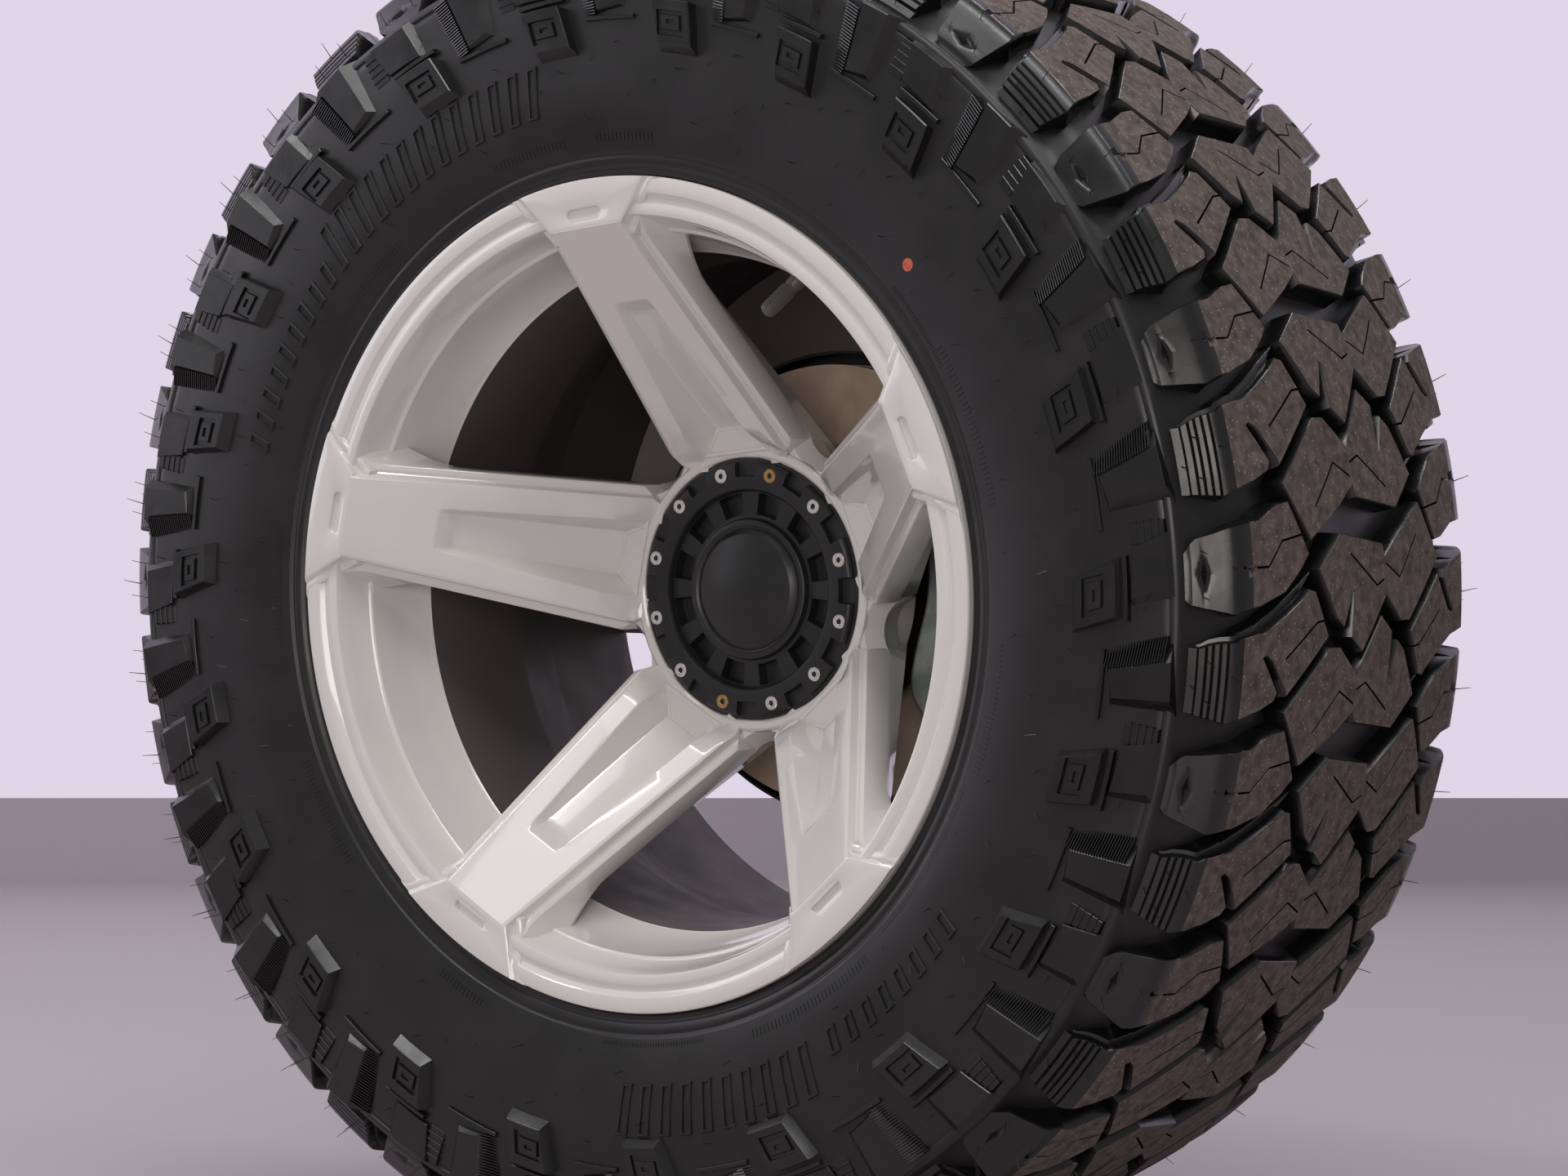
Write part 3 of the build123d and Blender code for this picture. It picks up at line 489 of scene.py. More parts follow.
# Shoulder ends of the two outer blocks: they roll over the edge of the tread and run down to the
# ridge. The long one is ribbed and then cut back, the short one has a kite-shaped pit.


def shoulder_end(stations, low_edge, high_edge, inner, relief, ledge):
    """Sections across a block, carried outboard and down the shoulder: loops of (out, round, height).

    Each section climbs the low wall, crosses the top at the inner fractions and comes down the high
    wall; relief gives the top's height over places (out, round), ledge how far a step stands out.
    """
    low = np.interp(stations, *np.array(low_edge).T) * PITCH_LENGTH
    high = np.interp(stations, *np.array(high_edge).T) * PITCH_LENGTH
    step = np.interp(stations, *np.array(ledge).T)
    flush = 0 * stations
    low_wall = [(low - 2.0 - step, flush - 19), (low - 0.7 - step * 0.9, flush - 6.7),
                (low - 0.6 - step * 0.8, flush - 6.1), (low - 0.65, flush - 5.9),
                (low, flush - 0.7), (low + 0.5, flush)]
    high_wall = [(high - 0.5, flush), (high, flush - 0.7), (high + 0.65, flush - 6), (high + 2.0, flush - 19)]
    top = [(low + 0.5 + (high - low - 1.0) * share, flush) for share in inner]
    section = np.array(low_wall + top + high_wall).transpose(2, 0, 1)
    out = np.repeat(stations[:, None], section.shape[1], axis=1)
    sunk = np.where(section[..., 1] > -2, relief(out, section[..., 0]), 0)
    return np.stack([out, section[..., 0], section[..., 1] + sunk], axis=-1)[:, ::-1]


GROOVES = (8, 12.5, 17, 21)             # mm down the shoulder from the tread's edge


def long_relief(out, round_mm):
    """Four fine grooves across the upper shoulder, then a face cut back by 3 mm."""
    fall = out - TREAD_HALF
    grooves = sum(np.clip(1 - np.abs(fall - middle), 0, 1) for middle in GROOVES)
    return -1.3 * np.minimum(grooves, 1) - 3.0 * np.clip((fall - 25.4) / 1.4, 0, 1)


def short_relief(out, round_mm):
    """The sipe's outer end, and a four-sided pit that is deepest in its middle."""
    fall = out - TREAD_HALF
    pit = np.clip(1 - np.abs(fall - 22.5) / 3.6 - np.abs(round_mm + 0.095 * PITCH_LENGTH) / 12.5, 0, 1)
    cut = (np.abs(round_mm + 0.112 * PITCH_LENGTH) < 0.45) & (out < 145.5)
    return -3.4 * pit - 5.0 * cut - 0.8 * np.clip((fall - 30) / 1.5, 0, 1)


groove_stations = (TREAD_HALF + np.array(GROOVES)[:, None] + (-1.0, 0, 1.0)).ravel()
long_stations = np.concatenate([[130, 134, 138, 142, 145, 147.5, 150, 152.5], groove_stations,
                                [171, 172.9, 174.3, 180, 186.5]])
long_low = ((130, .173), (147.5, .195), (149.7, .210), (159.7, .215), (167.5, .227), (172.9, .244),
            (186.5, .235))
long_high = ((130, .524), (147.5, .558), (154, .579), (171.6, .558), (182.6, .551), (186.5, .532))
long_end = shoulder_end(long_stations, long_low, long_high, (0.25, 0.5, 0.75), long_relief,
                        ((130, 4.8), (147.5, 3.5), (168, 3.0), (180, 0.5)))
short_stations = np.array([133, 137, 141, 145, 145.8, 148, 151, 154, 158, 163, 166, 167.3, 168.6, 170, 171.4,
                           172.7, 174, 177, 177.8, 179.2, 182, 185.0])
pit_spread = np.array([-12.5, -9, -5, 0, 5, 9, 12.5])
short_low = ((133, -.308), (147.5, -.295), (155.3, -.287), (163.8, -.270), (175.4, -.253), (185, -.16))
short_high = ((133, .055), (147.5, .078), (151.5, .091), (169.4, .063), (179.8, .045), (183.7, .001),
              (185, -.07))
pit_share = (pit_spread / PITCH_LENGTH - 0.095 + 0.262) / (0.063 + 0.262)
cut_share = (np.array([-0.7, -0.42, 0.42, 0.7]) / PITCH_LENGTH - 0.112 + 0.301) / (0.066 + 0.301)
short_end = shoulder_end(short_stations, short_low, short_high,
                         np.sort(np.concatenate([pit_share, cut_share])), short_relief, ((133, 0), (185, 0)))


def dusty_quads(loops, last_dusty):
    """Slot of every quad between the sections: dusty where it is on top and inboard of last_dusty."""
    k, n = loops.shape[:2]
    out = loops[:-1, :, 0]
    height = np.maximum(loops[:-1, :, 2], np.roll(loops[:-1, :, 2], -1, axis=1))
    low_point = np.minimum(loops[:-1, :, 2], np.roll(loops[:-1, :, 2], -1, axis=1))
    return ((out < last_dusty) & (height > -0.5) & (low_point > -0.9)).astype(int).reshape(-1)


points, groups, slots = spread_round([(on_skin(long_end), dusty_quads(long_end, 144), 0),
                                      (on_skin(short_end), dusty_quads(short_end, 134), 0)])
shoulders = put_mesh("shoulder_ends", points, groups, [lug_rubber, tread_rubber], slots)
fit_piece(shoulders, "wheel", "tyre", "tyre")

# Side lugs for grip in ruts: under every long block a sloping lug with a knurled face, under every
# short one a step and a lug cut like a target, all moulded with the side wall.


def side_ring(corners, lateral, move=0.0, counts=(3, 3, 3, 3)):
    """One loop on the side wall from corners (radius, share): moved in, refined, at lateral heights."""
    loop = np.array(corners, float) * (-1, PITCH_LENGTH)
    loop = loop if area(loop) > 0 else loop[::-1]
    flat = refine(np.column_stack([inset(loop, move), np.broadcast_to(lateral, len(loop))]), counts)
    return flat * (-1, 1 / PITCH_LENGTH, 1)


target_top = ((360.1, -.083), (389, -.173), (388.6, .111), (360, .190))
groove_edge = ((365.8, -.094), (381.9, -.119), (381.3, .083), (365.5, .119))
square_edge = ((369.7, -.068), (378.9, -.083), (378.5, .058), (369.4, .077))
slot_edge = ((373, -.035), (376, -.04), (376, .025), (373, .03))
target_lug = np.stack([
    side_ring(((350.7, -.115), (386.4, -.218), (386.2, .127), (350.6, .227)), 167),
    side_ring(target_top, 179.2), side_ring(target_top, 180, 0.8), side_ring(groove_edge, 180),
    side_ring(groove_edge, 178.0, 0.5), side_ring(square_edge, 178.0, -0.5), side_ring(square_edge, 179.6),
    side_ring(slot_edge, 179.6), side_ring(slot_edge, 178.2, 0.2)])
step_top = ((397.4, -.232), (421.2, -.292), (421.7, -.031), (395.8, .019))
step_block = np.stack([side_ring(((396, -.24), (424, -.30), (425.4, .029), (395.8, .102)), 166),
                       side_ring(step_top, 173.4), side_ring(step_top, 174, 0.6)])
long_top = ((382.5, .386), (425.5, .308), (427, .50), (386.7, .538))
long_lug = np.stack([side_ring(((376.0, .268), (422, .174), (427.5, .57), (380, .63)), 166),
                     side_ring(long_top, 175.4), side_ring(long_top, 176, 0.7)])


def bar(radius_low, radius_high, share_low, share_high, top, base=166.0, draft=0.5):
    """A straight-sided raised bar on the side wall."""
    corners = ((radius_low, share_low), (radius_high, share_low), (radius_high, share_high),
               (radius_low, share_high))
    steps = ((base, -draft), (top - 0.3, 0.0), (top, 0.3))
    return np.stack([side_ring(corners, level, move) for level, move in steps])


side_forms = [target_lug, step_block, long_lug, bar(391.6, 394.6, -.20, .125, 175.5),
              bar(376.2, 379.0, .283, .662, 174.4), bar(396, 420, .645, .75, 171.6)]
side_forms += [bar(low, low + 1.6, .64, .755, 172.4) for low in (400, 405, 410, 415)]
for radius in np.arange(380.5, 421.0, 1.9):
    # a rib climbs from the foot of the long lug's face to its top edge
    foot_share = np.interp(radius, (376, 422), (.276, .184))
    top_share = np.interp(radius, (382.5, 425.5), (.380, .302))
    rib = ((radius - 0.5, top_share), (radius + 0.5, top_share), (radius + 0.5, foot_share),
           (radius - 0.5, foot_share))
    climb = np.array([175.9, 175.9, 171.2, 171.2])
    side_forms.append(np.stack([side_ring(rib, climb + rise, move, (1, 1, 1, 1))
                                for rise, move in ((-1.5, 0.0), (0.5, 0.15))]))
points, groups, slots = spread_round([(form, 0, 0) for form in side_forms])
lugs = put_mesh("side_lugs", points, groups, [lug_rubber], slots)
fit_piece(lugs, "wheel", "tyre", "tyre")

# Small things on the side wall, of the same rubber: slanted hollow bars, rows of dashes and the hairs
# that rubber leaves in the mould's vents. The balance dot is painted on.
BAR_RADIUS = 337.0


def wall_lateral(radius):
    """Distance of the side wall from the middle plane at a radius."""
    return np.interp(radius, (293, 300, 312, 330, 352, 375), (165.6, 167.4, 169.8, 172.2, 172.6, 172.2))


def set_on_wall(corners, steps, turns):
    """A raised outline (radius, mm round) in steps of (mm moved in, mm proud), repeated at angles."""
    loop = np.array(corners, float) * (-1, 1)
    loop = loop if area(loop) > 0 else loop[::-1]
    loops = np.stack([np.column_stack([inset(loop, move) * (-1, 1), np.full(len(loop), rise)])
                      for move, rise in steps])
    radius, round_mm, rise = loops.reshape(-1, 3).T
    angle = turns[:, None] - round_mm / BAR_RADIUS
    y = CENTRE_Y - wall_lateral(radius) - rise + 0 * angle
    points = np.stack([radius * np.cos(angle), y, radius * np.sin(angle)], axis=-1).reshape(-1, 3)
    k, n = loops.shape[:2]
    shift = (np.arange(len(turns)) * k * n)[:, None, None]
    return points, [(ring_quads(k, n) + shift).reshape(-1, 4), (end_faces(k, n) + shift).reshape(-1, n)]


def join(pieces):
    """Pieces (points, list of face arrays) as one list of points and one of face arrays."""
    offset, points, groups = 0, [], []
    for piece_points, piece_groups in pieces:
        points.append(piece_points)
        groups += [group + offset for group in piece_groups]
        offset += len(piece_points)
    return np.concatenate(points), groups


hollow_steps = ((-0.6, -1.5), (0.0, 1.1), (0.3, 1.4), (1.7, 1.4), (2.1, 0.1))
dash_steps = ((-0.2, -1.0), (0.1, 0.35))
wide_bar = ((320, -7), (320, 1.5), (354, 7), (354, -1.5))
low_bar = ((320, -5), (320, 3), (337, 6), (337, -2))
mark_sets = [(shape, hollow_steps, np.radians(np.arange(first, last, 2.9))) for shape, first, last in (
    (wide_bar, 101, 136), (low_bar, 139, 165), (wide_bar, 272, 300), (low_bar, 303, 324))]
dash = ((297.5, -0.5), (297.5, 0.5), (303, 0.5), (303, -0.5))
small_dash = ((293.5, -0.35), (293.5, 0.35), (296.5, 0.35), (296.5, -0.35))
mark_sets += [(dash, dash_steps, np.radians(np.arange(first, first + sweep, 0.62))) for first, sweep in (
    (84, 9), (98, 12), (128, 14), (172, 16), (204, 15), (240, 8), (292, 20), (340, 16), (12, 20))]
mark_sets += [(small_dash, dash_steps, np.radians(np.arange(first, first + sweep, 0.42)))
              for first, sweep in ((268, 16), (316, 22), (30, 12), (150, 14))]
points, groups = join([set_on_wall(*mark_set) for mark_set in mark_sets])
marks = put_mesh("side_wall_marks", points, groups, [rubber])
fit_piece(marks, "wheel", "tyre", "tyre")


def whisker(radius, share, lateral, out_radius, out_lateral):
    """A three-sided hair of rubber from the skin to its tip, the offsets given in mm."""
    size = np.array([(0.45, 0.0), (-0.25, 0.4), (-0.25, -0.4)])
    foot = np.column_stack([radius + size[:, 0], share + size[:, 1] / PITCH_LENGTH, np.full(3, lateral)])
    tip = foot + (out_radius, 0.02, out_lateral)
    tip[:, :2] = 0.5 * tip[:, :2] + 0.5 * tip[:, :2].mean(axis=0)
    return np.stack([foot, tip])[:, ::-1]


whiskers = [whisker(452, .36, 150, 11, 6), whisker(440, .30, 157, 9, 7), whisker(440, .48, 157, 9, 7),
            whisker(452, -.12, 150, 11, 6), whisker(436, -.20, 159, 9, 7), whisker(436, .0, 159, 9, 7),
            whisker(345, .05, 171, 1, 8), whisker(362, .52, 171, -2, 8), whisker(312, .25, 168, 2, 9),
            whisker(405, .05, 172, 3, 7), whisker(431, .42, 160, 8, 6), whisker(325, .62, 171, 6, 4),
            whisker(350, .30, 172, 6, 4), whisker(338, .85, 172, -6, 4), whisker(300, .70, 166, 5, 4)]
points, groups, slots = spread_round([(form, 0, 0) for form in whiskers])
hairs = put_mesh("vent_whiskers", points, groups, [rubber], slots)
fit_piece(hairs, "wheel", "tyre", "tyre")

dot_paint = new_look("orange-red marking paint", "#C4583C", 0.6)
# A dab of marking paint, a little uneven where the brush left it.
tint(dot_paint, mottle(dot_paint, 3, "#B24A31", "#CF6547"))
dot_round = np.linspace(0, 2 * np.pi, 24, endpoint=False)
dot_corners = np.column_stack([314 + 4.4 * np.cos(dot_round), 4.4 * np.sin(dot_round)])
points, groups = set_on_wall(dot_corners, ((0.0, -0.3), (0.2, 0.15)), np.radians([42.0]))
dot = put_mesh("balance_dot", points, groups, [dot_paint])
fit_piece(dot, "wheel", "tyre", "tyre")

# Rim barrel: spun from aluminium and welded to the face, then painted black. Brake dust from the disc
# that turns inside it has taken off the shine.
FACE_BAND = 78.0
barrel_black = new_look("black rim enamel with painted reflection", "#565251", 0.5, specular=0.2)
# Black wheel enamel dulled by brake dust, with a faint orange peel. Its base colour is a mid grey rather than
# black: painted reflection, standing for the lit room mirrored in the barrel.
smear(barrel_black, 30, 0.44, 0.58)
grain(barrel_black, 3.0, 0.03, 0.25)
start = LIP_Y + FACE_BAND
inner_flange = CENTRE_Y + RIM_HALF
points, quads = turned([
    (236, start), (236, start + 90), (238, start + 94), (256, start + 148), (257.2, start + 151),
    (257.2, inner_flange - 16), (259, inner_flange - 13), (268, inner_flange - 10), (273, inner_flange - 7.5),
    (275, inner_flange - 5), (274.6, inner_flange - 1.5), (272.5, inner_flange), (268, inner_flange),
    (258, inner_flange - 2.0), (251, inner_flange - 4.0), (249.2, inner_flange - 8), (249.2, start + 156),
    (247.6, start + 151), (230, start + 98), (228, start + 92), (228, start),
], 192)
barrel = put_mesh("rim_barrel_skin", points, [quads], [barrel_black])
fit_piece(barrel, "wheel", "barrel_black", "rim_barrel")

# Wheel face: cast aluminium with a stepped lip ring, five pocketed spokes and a hub, in warm
# light grey gloss enamel that runs on down the inside to the barrel.
face_paint = new_look("light grey wheel enamel", "#D6D3CF", 0.16, coat=0.8)
# Wheel enamel under clear coat: pale, even, glossy, with the faintest orange peel.
smear(face_paint, 40, 0.12, 0.22)
grain(face_paint, 4.0, 0.03, 0.2)


def out_of_lip(z):
    """Y of a place z millimetres outboard of the lip plane."""
    return LIP_Y - z


def turned_out(profile, segments):
    """An outline of (radius, mm outboard of the lip plane) turned about the axle."""
    profile = np.array(profile, float)
    return turned(np.column_stack([profile[:, 0], out_of_lip(profile[:, 1])]), segments)


lip_profile = (
    (275, -9), (275, -1.4), (274.4, -0.4), (273, 0.0), (266.5, 0.0), (264.5, -0.5), (262.4, -2.6),
    (260.8, -3.6), (258.8, -3.6), (257, -2.8), (255.6, -2.4), (251.6, -2.4), (250.0, -3.0), (249.2, -4.6),
    (247.6, -14), (243.6, -26), (242.6, -28.2), (241.4, -28.8), (240.4, -30.2), (238, -50), (230, -76),
    (228.4, -78), (236, -78), (257.2, -48), (257.2, -16), (259, -13.5), (268, -11.5),
)
hub_profile = (
    (39, -209), (96, -209), (98.5, -206), (98.5, -150), (97.6, -148), (96, -147), (92.4, -147), (91, -148),
    (90.4, -150), (90.4, -165), (84, -165), (84, -189), (39, -189),
)
SPOKES = 5
FIRST_SPOKE = np.radians(24.05)
SPOKE_TOP = 243.2                       # along the spoke, where the pad turns onto its face
SPOKE_HALF = 29.3                       # half width of the face there
WIDENING = 0.10                         # of that half width, towards the hub
FACE_SLOPE = 0.90
FLANK_OUT = 8.8                         # from the face's edge out to the flank
POCKET_TOP = 195.9                      # along the spoke, the pocket's outer end
HUB_LEVEL = -148.0
spoke_stations = np.concatenate([
    np.linspace(84, 112, 15), np.linspace(115, 187, 13), [189.5, 190.5, 191.5, 193, 195, 195.6, 196.2, 197.5],
    np.linspace(202, 230, 6), np.linspace(233, 245, 7), [250],
])


def face_height(along, across):
    """The spoke's sloping plane, cut off near the hub by a steep cone about the axle."""
    plane = np.minimum(1.0 - FACE_SLOPE * (SPOKE_TOP - along), 0.8)
    cone = -121.5 - 1.85 * (110.5 - np.hypot(along, across))
    return np.maximum(np.minimum(plane, cone), HUB_LEVEL)


def spoke_sections(along):
    """Half outlines across the spoke, (stations, points, 2) of mm across and mm outboard.

    From the pocket's floor up its wall, over the face, round the edge, down a small drop into a
    groove, out over a ledge and down the flank to the back. Each row says how far across it runs,
    how far it lies below the face, and by what share it takes part in the pocket's fall.
    """
    half = SPOKE_HALF + WIDENING * (SPOKE_TOP - along)
    flare = 5.0 * np.clip((along - 229) / 16, 0, 1) ** 2
    gusset = 20.0 * np.clip((along - 204) / 42, 0, 1) ** 1.6
    pocket = np.clip((POCKET_TOP - along) / 6.0, 0, 1)
    rim = 15.0 + 0.122 * (POCKET_TOP - along)
    floor_half = np.minimum(11.8 + 0.045 * (POCKET_TOP - along), rim - 1.6)
    floor = np.maximum(-49.0 - 1.17 * (POCKET_TOP - along), -151.0)
    depth = 42 + 20 * (SPOKE_TOP - along) / 137
    rows = [
        (0 * along, 0.0, 1.0), (floor_half - 1.2, 0.0, 1.0), (floor_half, 0.5, 1.0),
        (0.3 * rim + 0.7 * floor_half, 0.0, 0.75), (rim - 0.9, 0.0, 0.12), (rim - 0.2, 0.0, 0.03),
        (rim + 0.8, 0.0, 0.0), (half - 3.2, 0.0, 0.0), (half - 1.6, -0.25, 0.0), (half - 0.5, -0.9, 0.0),
        (half, -2.0, 0.0), (half + 0.9, -6.2, 0.0), (half + 1.5, -7.8, 0.0), (half + 2.4, -8.7, 0.0),
        (half + 3.6, -8.6, 0.0), (half + 4.6, -8.2, 0.0), (half + 6.8 + 0.6 * flare, -8.9, 0.0),
        (half + 7.7 + 0.9 * flare, -9.8, 0.0), (half + 8.2 + flare, -11.6, 0.0),
        (half + FLANK_OUT + gusset, -34.0, 0.0), (half + 7.4 + gusset, -39.0, 0.0),
    ]
    middle = face_height(along, 0 * along)
    pocket_floor = middle + pocket * (floor - middle)
    outline = []
    for across, lower, sunk in rows:
        face = face_height(along, across)
        below = lower * pocket if sunk else lower
        outline.append((across, (1 - sunk) * face + sunk * pocket_floor + below))
    back = 1.0 - FACE_SLOPE * (SPOKE_TOP - along) - depth
    outline += [(half + 2.0, back), (0 * along, back)]
    sections = np.array(outline).transpose(2, 0, 1)
    # near the hub the flanks draw in, so that the fillet between two spokes covers their ends
    sections[..., 0] = np.minimum(sections[..., 0], (38.0 + (along - 84))[:, None])
    return sections


right = spoke_sections(spoke_stations)
sections = np.concatenate([right, right[:, -2:0:-1] * (-1, 1)], axis=1)
count, n = sections.shape[:2]
spoke_points = np.stack([np.repeat(spoke_stations[:, None], n, axis=1), out_of_lip(sections[..., 1]),
                         sections[..., 0]], axis=-1).reshape(-1, 3)
spoke = (spoke_points, [ring_quads(count, n), end_faces(count, n)])


def stacked(rings):
    """A closed form from rings of (flat outline, mm outboard of the lip plane), the lowest first."""
    n = len(rings[0][0])
    points = [np.column_stack([flat[:, 0], out_of_lip(level + 0 * flat[:, 0]), flat[:, 1]])
              for flat, level in rings]
    return np.concatenate(points), [ring_quads(len(rings), n)[:, ::-1], end_faces(len(rings), n)[:, ::-1]]


# The pad stands on the lip at the spoke's end, with bevelled sides and a round-ended slot.
SLOT_PLACE, SLOT_HALF, SLOT_ROUND = 252.0, 10.3, 4.2
PAD_RADIUS = 274.6
lip_turn = np.linspace(-0.1887, 0.1887, 15)
pad_outline = np.concatenate([np.column_stack([PAD_RADIUS * np.cos(lip_turn), PAD_RADIUS * np.sin(lip_turn)]),
                              [(SPOKE_TOP, SPOKE_HALF), (SPOKE_TOP, -SPOKE_HALF)]])
pad_counts = np.array([1] * 14 + [10, 16, 10])


def pad_level(radius):
    """The pad's top, which rises by 1.3 mm over 30 mm outwards."""
    return 1.0 + 1.3 * (radius - 245) / 30


def pad_ring(move, fall, ledge=0.0):
    """The pad's outline moved in and lowered; it stays inside the lip.

    The ledge deepens from the lip's rim to the spoke's end, where it meets the ledge of the flank.
    """
    flat = refine(inset(pad_outline, move), pad_counts)
    flat = flat * np.minimum(1, 274.8 / np.hypot(flat[:, 0], flat[:, 1]))[:, None]
    radius = np.hypot(flat[:, 0], flat[:, 1])
    return flat, pad_level(radius) - fall - ledge * np.interp(radius, (246, 263), (1.0, 0.0))


def slot_ring(grow, fall):
    """The slot's edge seen from its middle in the directions of the pad's outline.

    A ray meets a straight side at grow + round / |cos|, or else the circle at either end.
    """
    ray = pad_ring(0.0, 0.0)[0] - (SLOT_PLACE, 0)
    ray = ray / np.linalg.norm(ray, axis=1)[:, None]
    size = SLOT_ROUND + grow
    straight = size / np.maximum(np.abs(ray[:, 0]), 1e-6)
    rounded = SLOT_HALF * np.abs(ray[:, 1]) + np.sqrt(np.maximum(size ** 2 - (SLOT_HALF * ray[:, 0]) ** 2, 0))
    reach = np.where(straight * np.abs(ray[:, 1]) <= SLOT_HALF, straight, rounded)
    flat = ray * reach[:, None] + (SLOT_PLACE, 0)
    return flat, pad_level(np.hypot(flat[:, 0], flat[:, 1])) - fall


pad_rings = [pad_ring(move, fall, ledge) for move, fall, ledge in (
    (-9.0, 16.0, 0.0), (-8.3, 4.4, 6.6), (-7.6, 2.6, 6.6), (-6.4, 1.9, 6.4), (-3.8, 1.8, 6.2),
    (-2.6, 2.3, 6.2), (-1.7, 1.9, 5.0), (-0.8, 0.9, 0.0), (0.0, 0.3, 0.0), (1.0, 0.0, 0.0))]
pad_rings += [slot_ring(grow, fall) for grow, fall in (
    (0.9, 0.0), (0.2, 0.3), (-0.2, 1.2), (-0.5, 2.6), (-1.4, 3.0))]
pad = stacked(pad_rings)

# A flat trapezium with a sunk panel closes each pocket at the hub.
trapezium = np.array([(93.5, -27.0), (113.0, -15.0), (113.0, 15.0), (93.5, 27.0)])
plate = stacked([(inset(trapezium, move), level) for move, level in (
    (-0.8, -165.0), (-0.2, -145.8), (0.4, -145.2), (2.4, -145.2), (3.0, -146.2))])

# Between two spokes the flanks meet in a round fillet of 24 mm at the hub.
FILLET = 24.0
half_gap = np.pi / SPOKES
flank_lean = half_gap + np.arctan(WIDENING)          # of a flank from the line midway between two spokes
flank_at_axle = SPOKE_HALF + WIDENING * SPOKE_TOP + FLANK_OUT
flanks_meet = flank_at_axle / (np.tan(half_gap) + WIDENING) / np.cos(half_gap)
fillet_middle = flanks_meet + FILLET / np.sin(flank_lean)
fillet_turn = np.linspace(-1, 1, 15) * (np.pi / 2 - flank_lean)


def fillet_outline(draw):
    """The fillet's arc about its middle, moved by draw into hub and flanks, and closed inside the hub."""
    size = FILLET + draw
    arc = np.column_stack([fillet_middle - size * np.cos(fillet_turn), size * np.sin(fillet_turn)])
    return np.concatenate([arc, [(88.0, 26.0), (88.0, -26.0)]])


fillet = stacked([(fillet_outline(draw), level) for draw, level in (
    (6.2, -186.0), (1.4, -165.5), (0.0, -161.5), (1.5, -158.6), (8.0, -149.5))])


def turn_about_axle(points, angle):
    """Points turned about the axle by an angle in the wheel's own sense, from +X towards +Z."""
    x, y, z = points.T
    return np.stack([x * np.cos(angle) - z * np.sin(angle), y, x * np.sin(angle) + z * np.cos(angle)], axis=1)


ring_points, ring_faces = turned_out(lip_profile, 240)
hub_points, hub_faces = turned_out(hub_profile, 144)
parts = [(ring_points, [ring_faces]), (hub_points, [hub_faces])]
for spoke_turn in FIRST_SPOKE + 2 * half_gap * np.arange(SPOKES):
    for (form_points, form_faces), ahead_by in ((spoke, 0), (pad, 0), (plate, 0), (fillet, half_gap)):
        parts.append((turn_about_axle(form_points, spoke_turn + ahead_by), form_faces))
points, groups = join(parts)
wheel = put_mesh("wheel_face_casting", points, groups, [face_paint], smooth_angle=28.0)
fit_piece(wheel, "wheel", "face_paint", "wheel_face")

# Cap: a satin black moulding with an edge notched between its twelve screws and twelve windows
# round its middle, and a plain stepped centre.
cap_black = new_look("satin black cap", "#1A1A1B", 0.36)
# Satin black paint on a cast cap: an even low sheen.
smear(cap_black, 25, 0.32, 0.44)
grain(cap_black, 0.8, 0.03, 0.4)
SCREWS = 12
SCREW_STEP = 2 * np.pi / SCREWS
FIRST_SCREW = np.radians(105.5)
cap_profile = np.array([
    # radius, mm outboard of the lip plane, from the middle out and round the back
    (0.5, -142.0), (37.2, -142.6), (38.4, -143.2), (39.6, -144.2), (41.2, -145.2), (42.0, -146.2),
    (43.0, -146.0), (44.2, -145.0), (46.6, -145.0), (47.8, -145.6), (49.2, -149.4), (50.8, -149.6),
    (51.5, -149.6), (52.0, -149.6), (58, -149.6), (66, -149.6), (66.5, -149.6), (67, -149.6),
    (68.2, -145.0), (69.4, -143.8), (71, -143.6), (77.4, -143.6), (78.0, -143.6), (78.6, -143.6),
    (84.6, -143.6), (86.4, -144.2), (87.6, -145.6), (88, -147.6), (88, -148.4), (90.2, -148.6),
    (90.2, -158), (89.4, -160), (89.4, -165), (0.5, -165),
])
turn_steps = np.radians([-15, -9.9, -9.3, -8.9, -8.3, -4.2, 0, 4.2, 8.3, 8.9, 9.3, 9.9])
cap_angle = (FIRST_SCREW + SCREW_STEP * np.arange(SCREWS)[:, None] + turn_steps).ravel()
from_screw = np.abs(np.tile(turn_steps, SCREWS))
cap_radius = cap_profile[:, 0, None] + 0 * cap_angle
cap_level = cap_profile[:, 1, None] + 0 * cap_angle
front_rows = np.arange(len(cap_profile))[:, None] < len(cap_profile) - 6
in_window = (cap_radius > 51.7) & (cap_radius < 66.3) & (from_screw < np.radians(8.6)) & front_rows
in_notch = (cap_radius > 77.8) & (from_screw > np.radians(9.1)) & front_rows
cap_level = np.where(in_window, -158.0, cap_level)
cap_level = np.where(in_notch, np.minimum(cap_level, -148.2), cap_level)
cap_points = np.stack([cap_radius * np.cos(cap_angle), out_of_lip(cap_level), cap_radius * np.sin(cap_angle)],
                      axis=-1).reshape(-1, 3)
rows, columns = cap_level.shape
cap = put_mesh("cap_moulding", cap_points, [ring_quads(rows, columns), end_faces(rows, columns)], [cap_black])
fit_piece(cap, "wheel", "cap_black", "cap_ring", "cap_centre")

# Cap screws: twelve stainless socket screws hold the cap's ring to the wheel. Two have been changed for
# yellow-plated ones.
screw_steel = new_look("stainless screw", "#EDEAE5", 0.3, metallic=0.9)
# Bright stainless steel, lightly brushed.
smear(screw_steel, 6, 0.22, 0.36)
screw_brass = new_look("yellow-plated screw", "#C9A06A", 0.34, metallic=1.0)
# The same screw in yellow zinc plate.
smear(screw_brass, 6, 0.28, 0.42)
socket_black = new_look("dark socket", "#141312", 0.7)
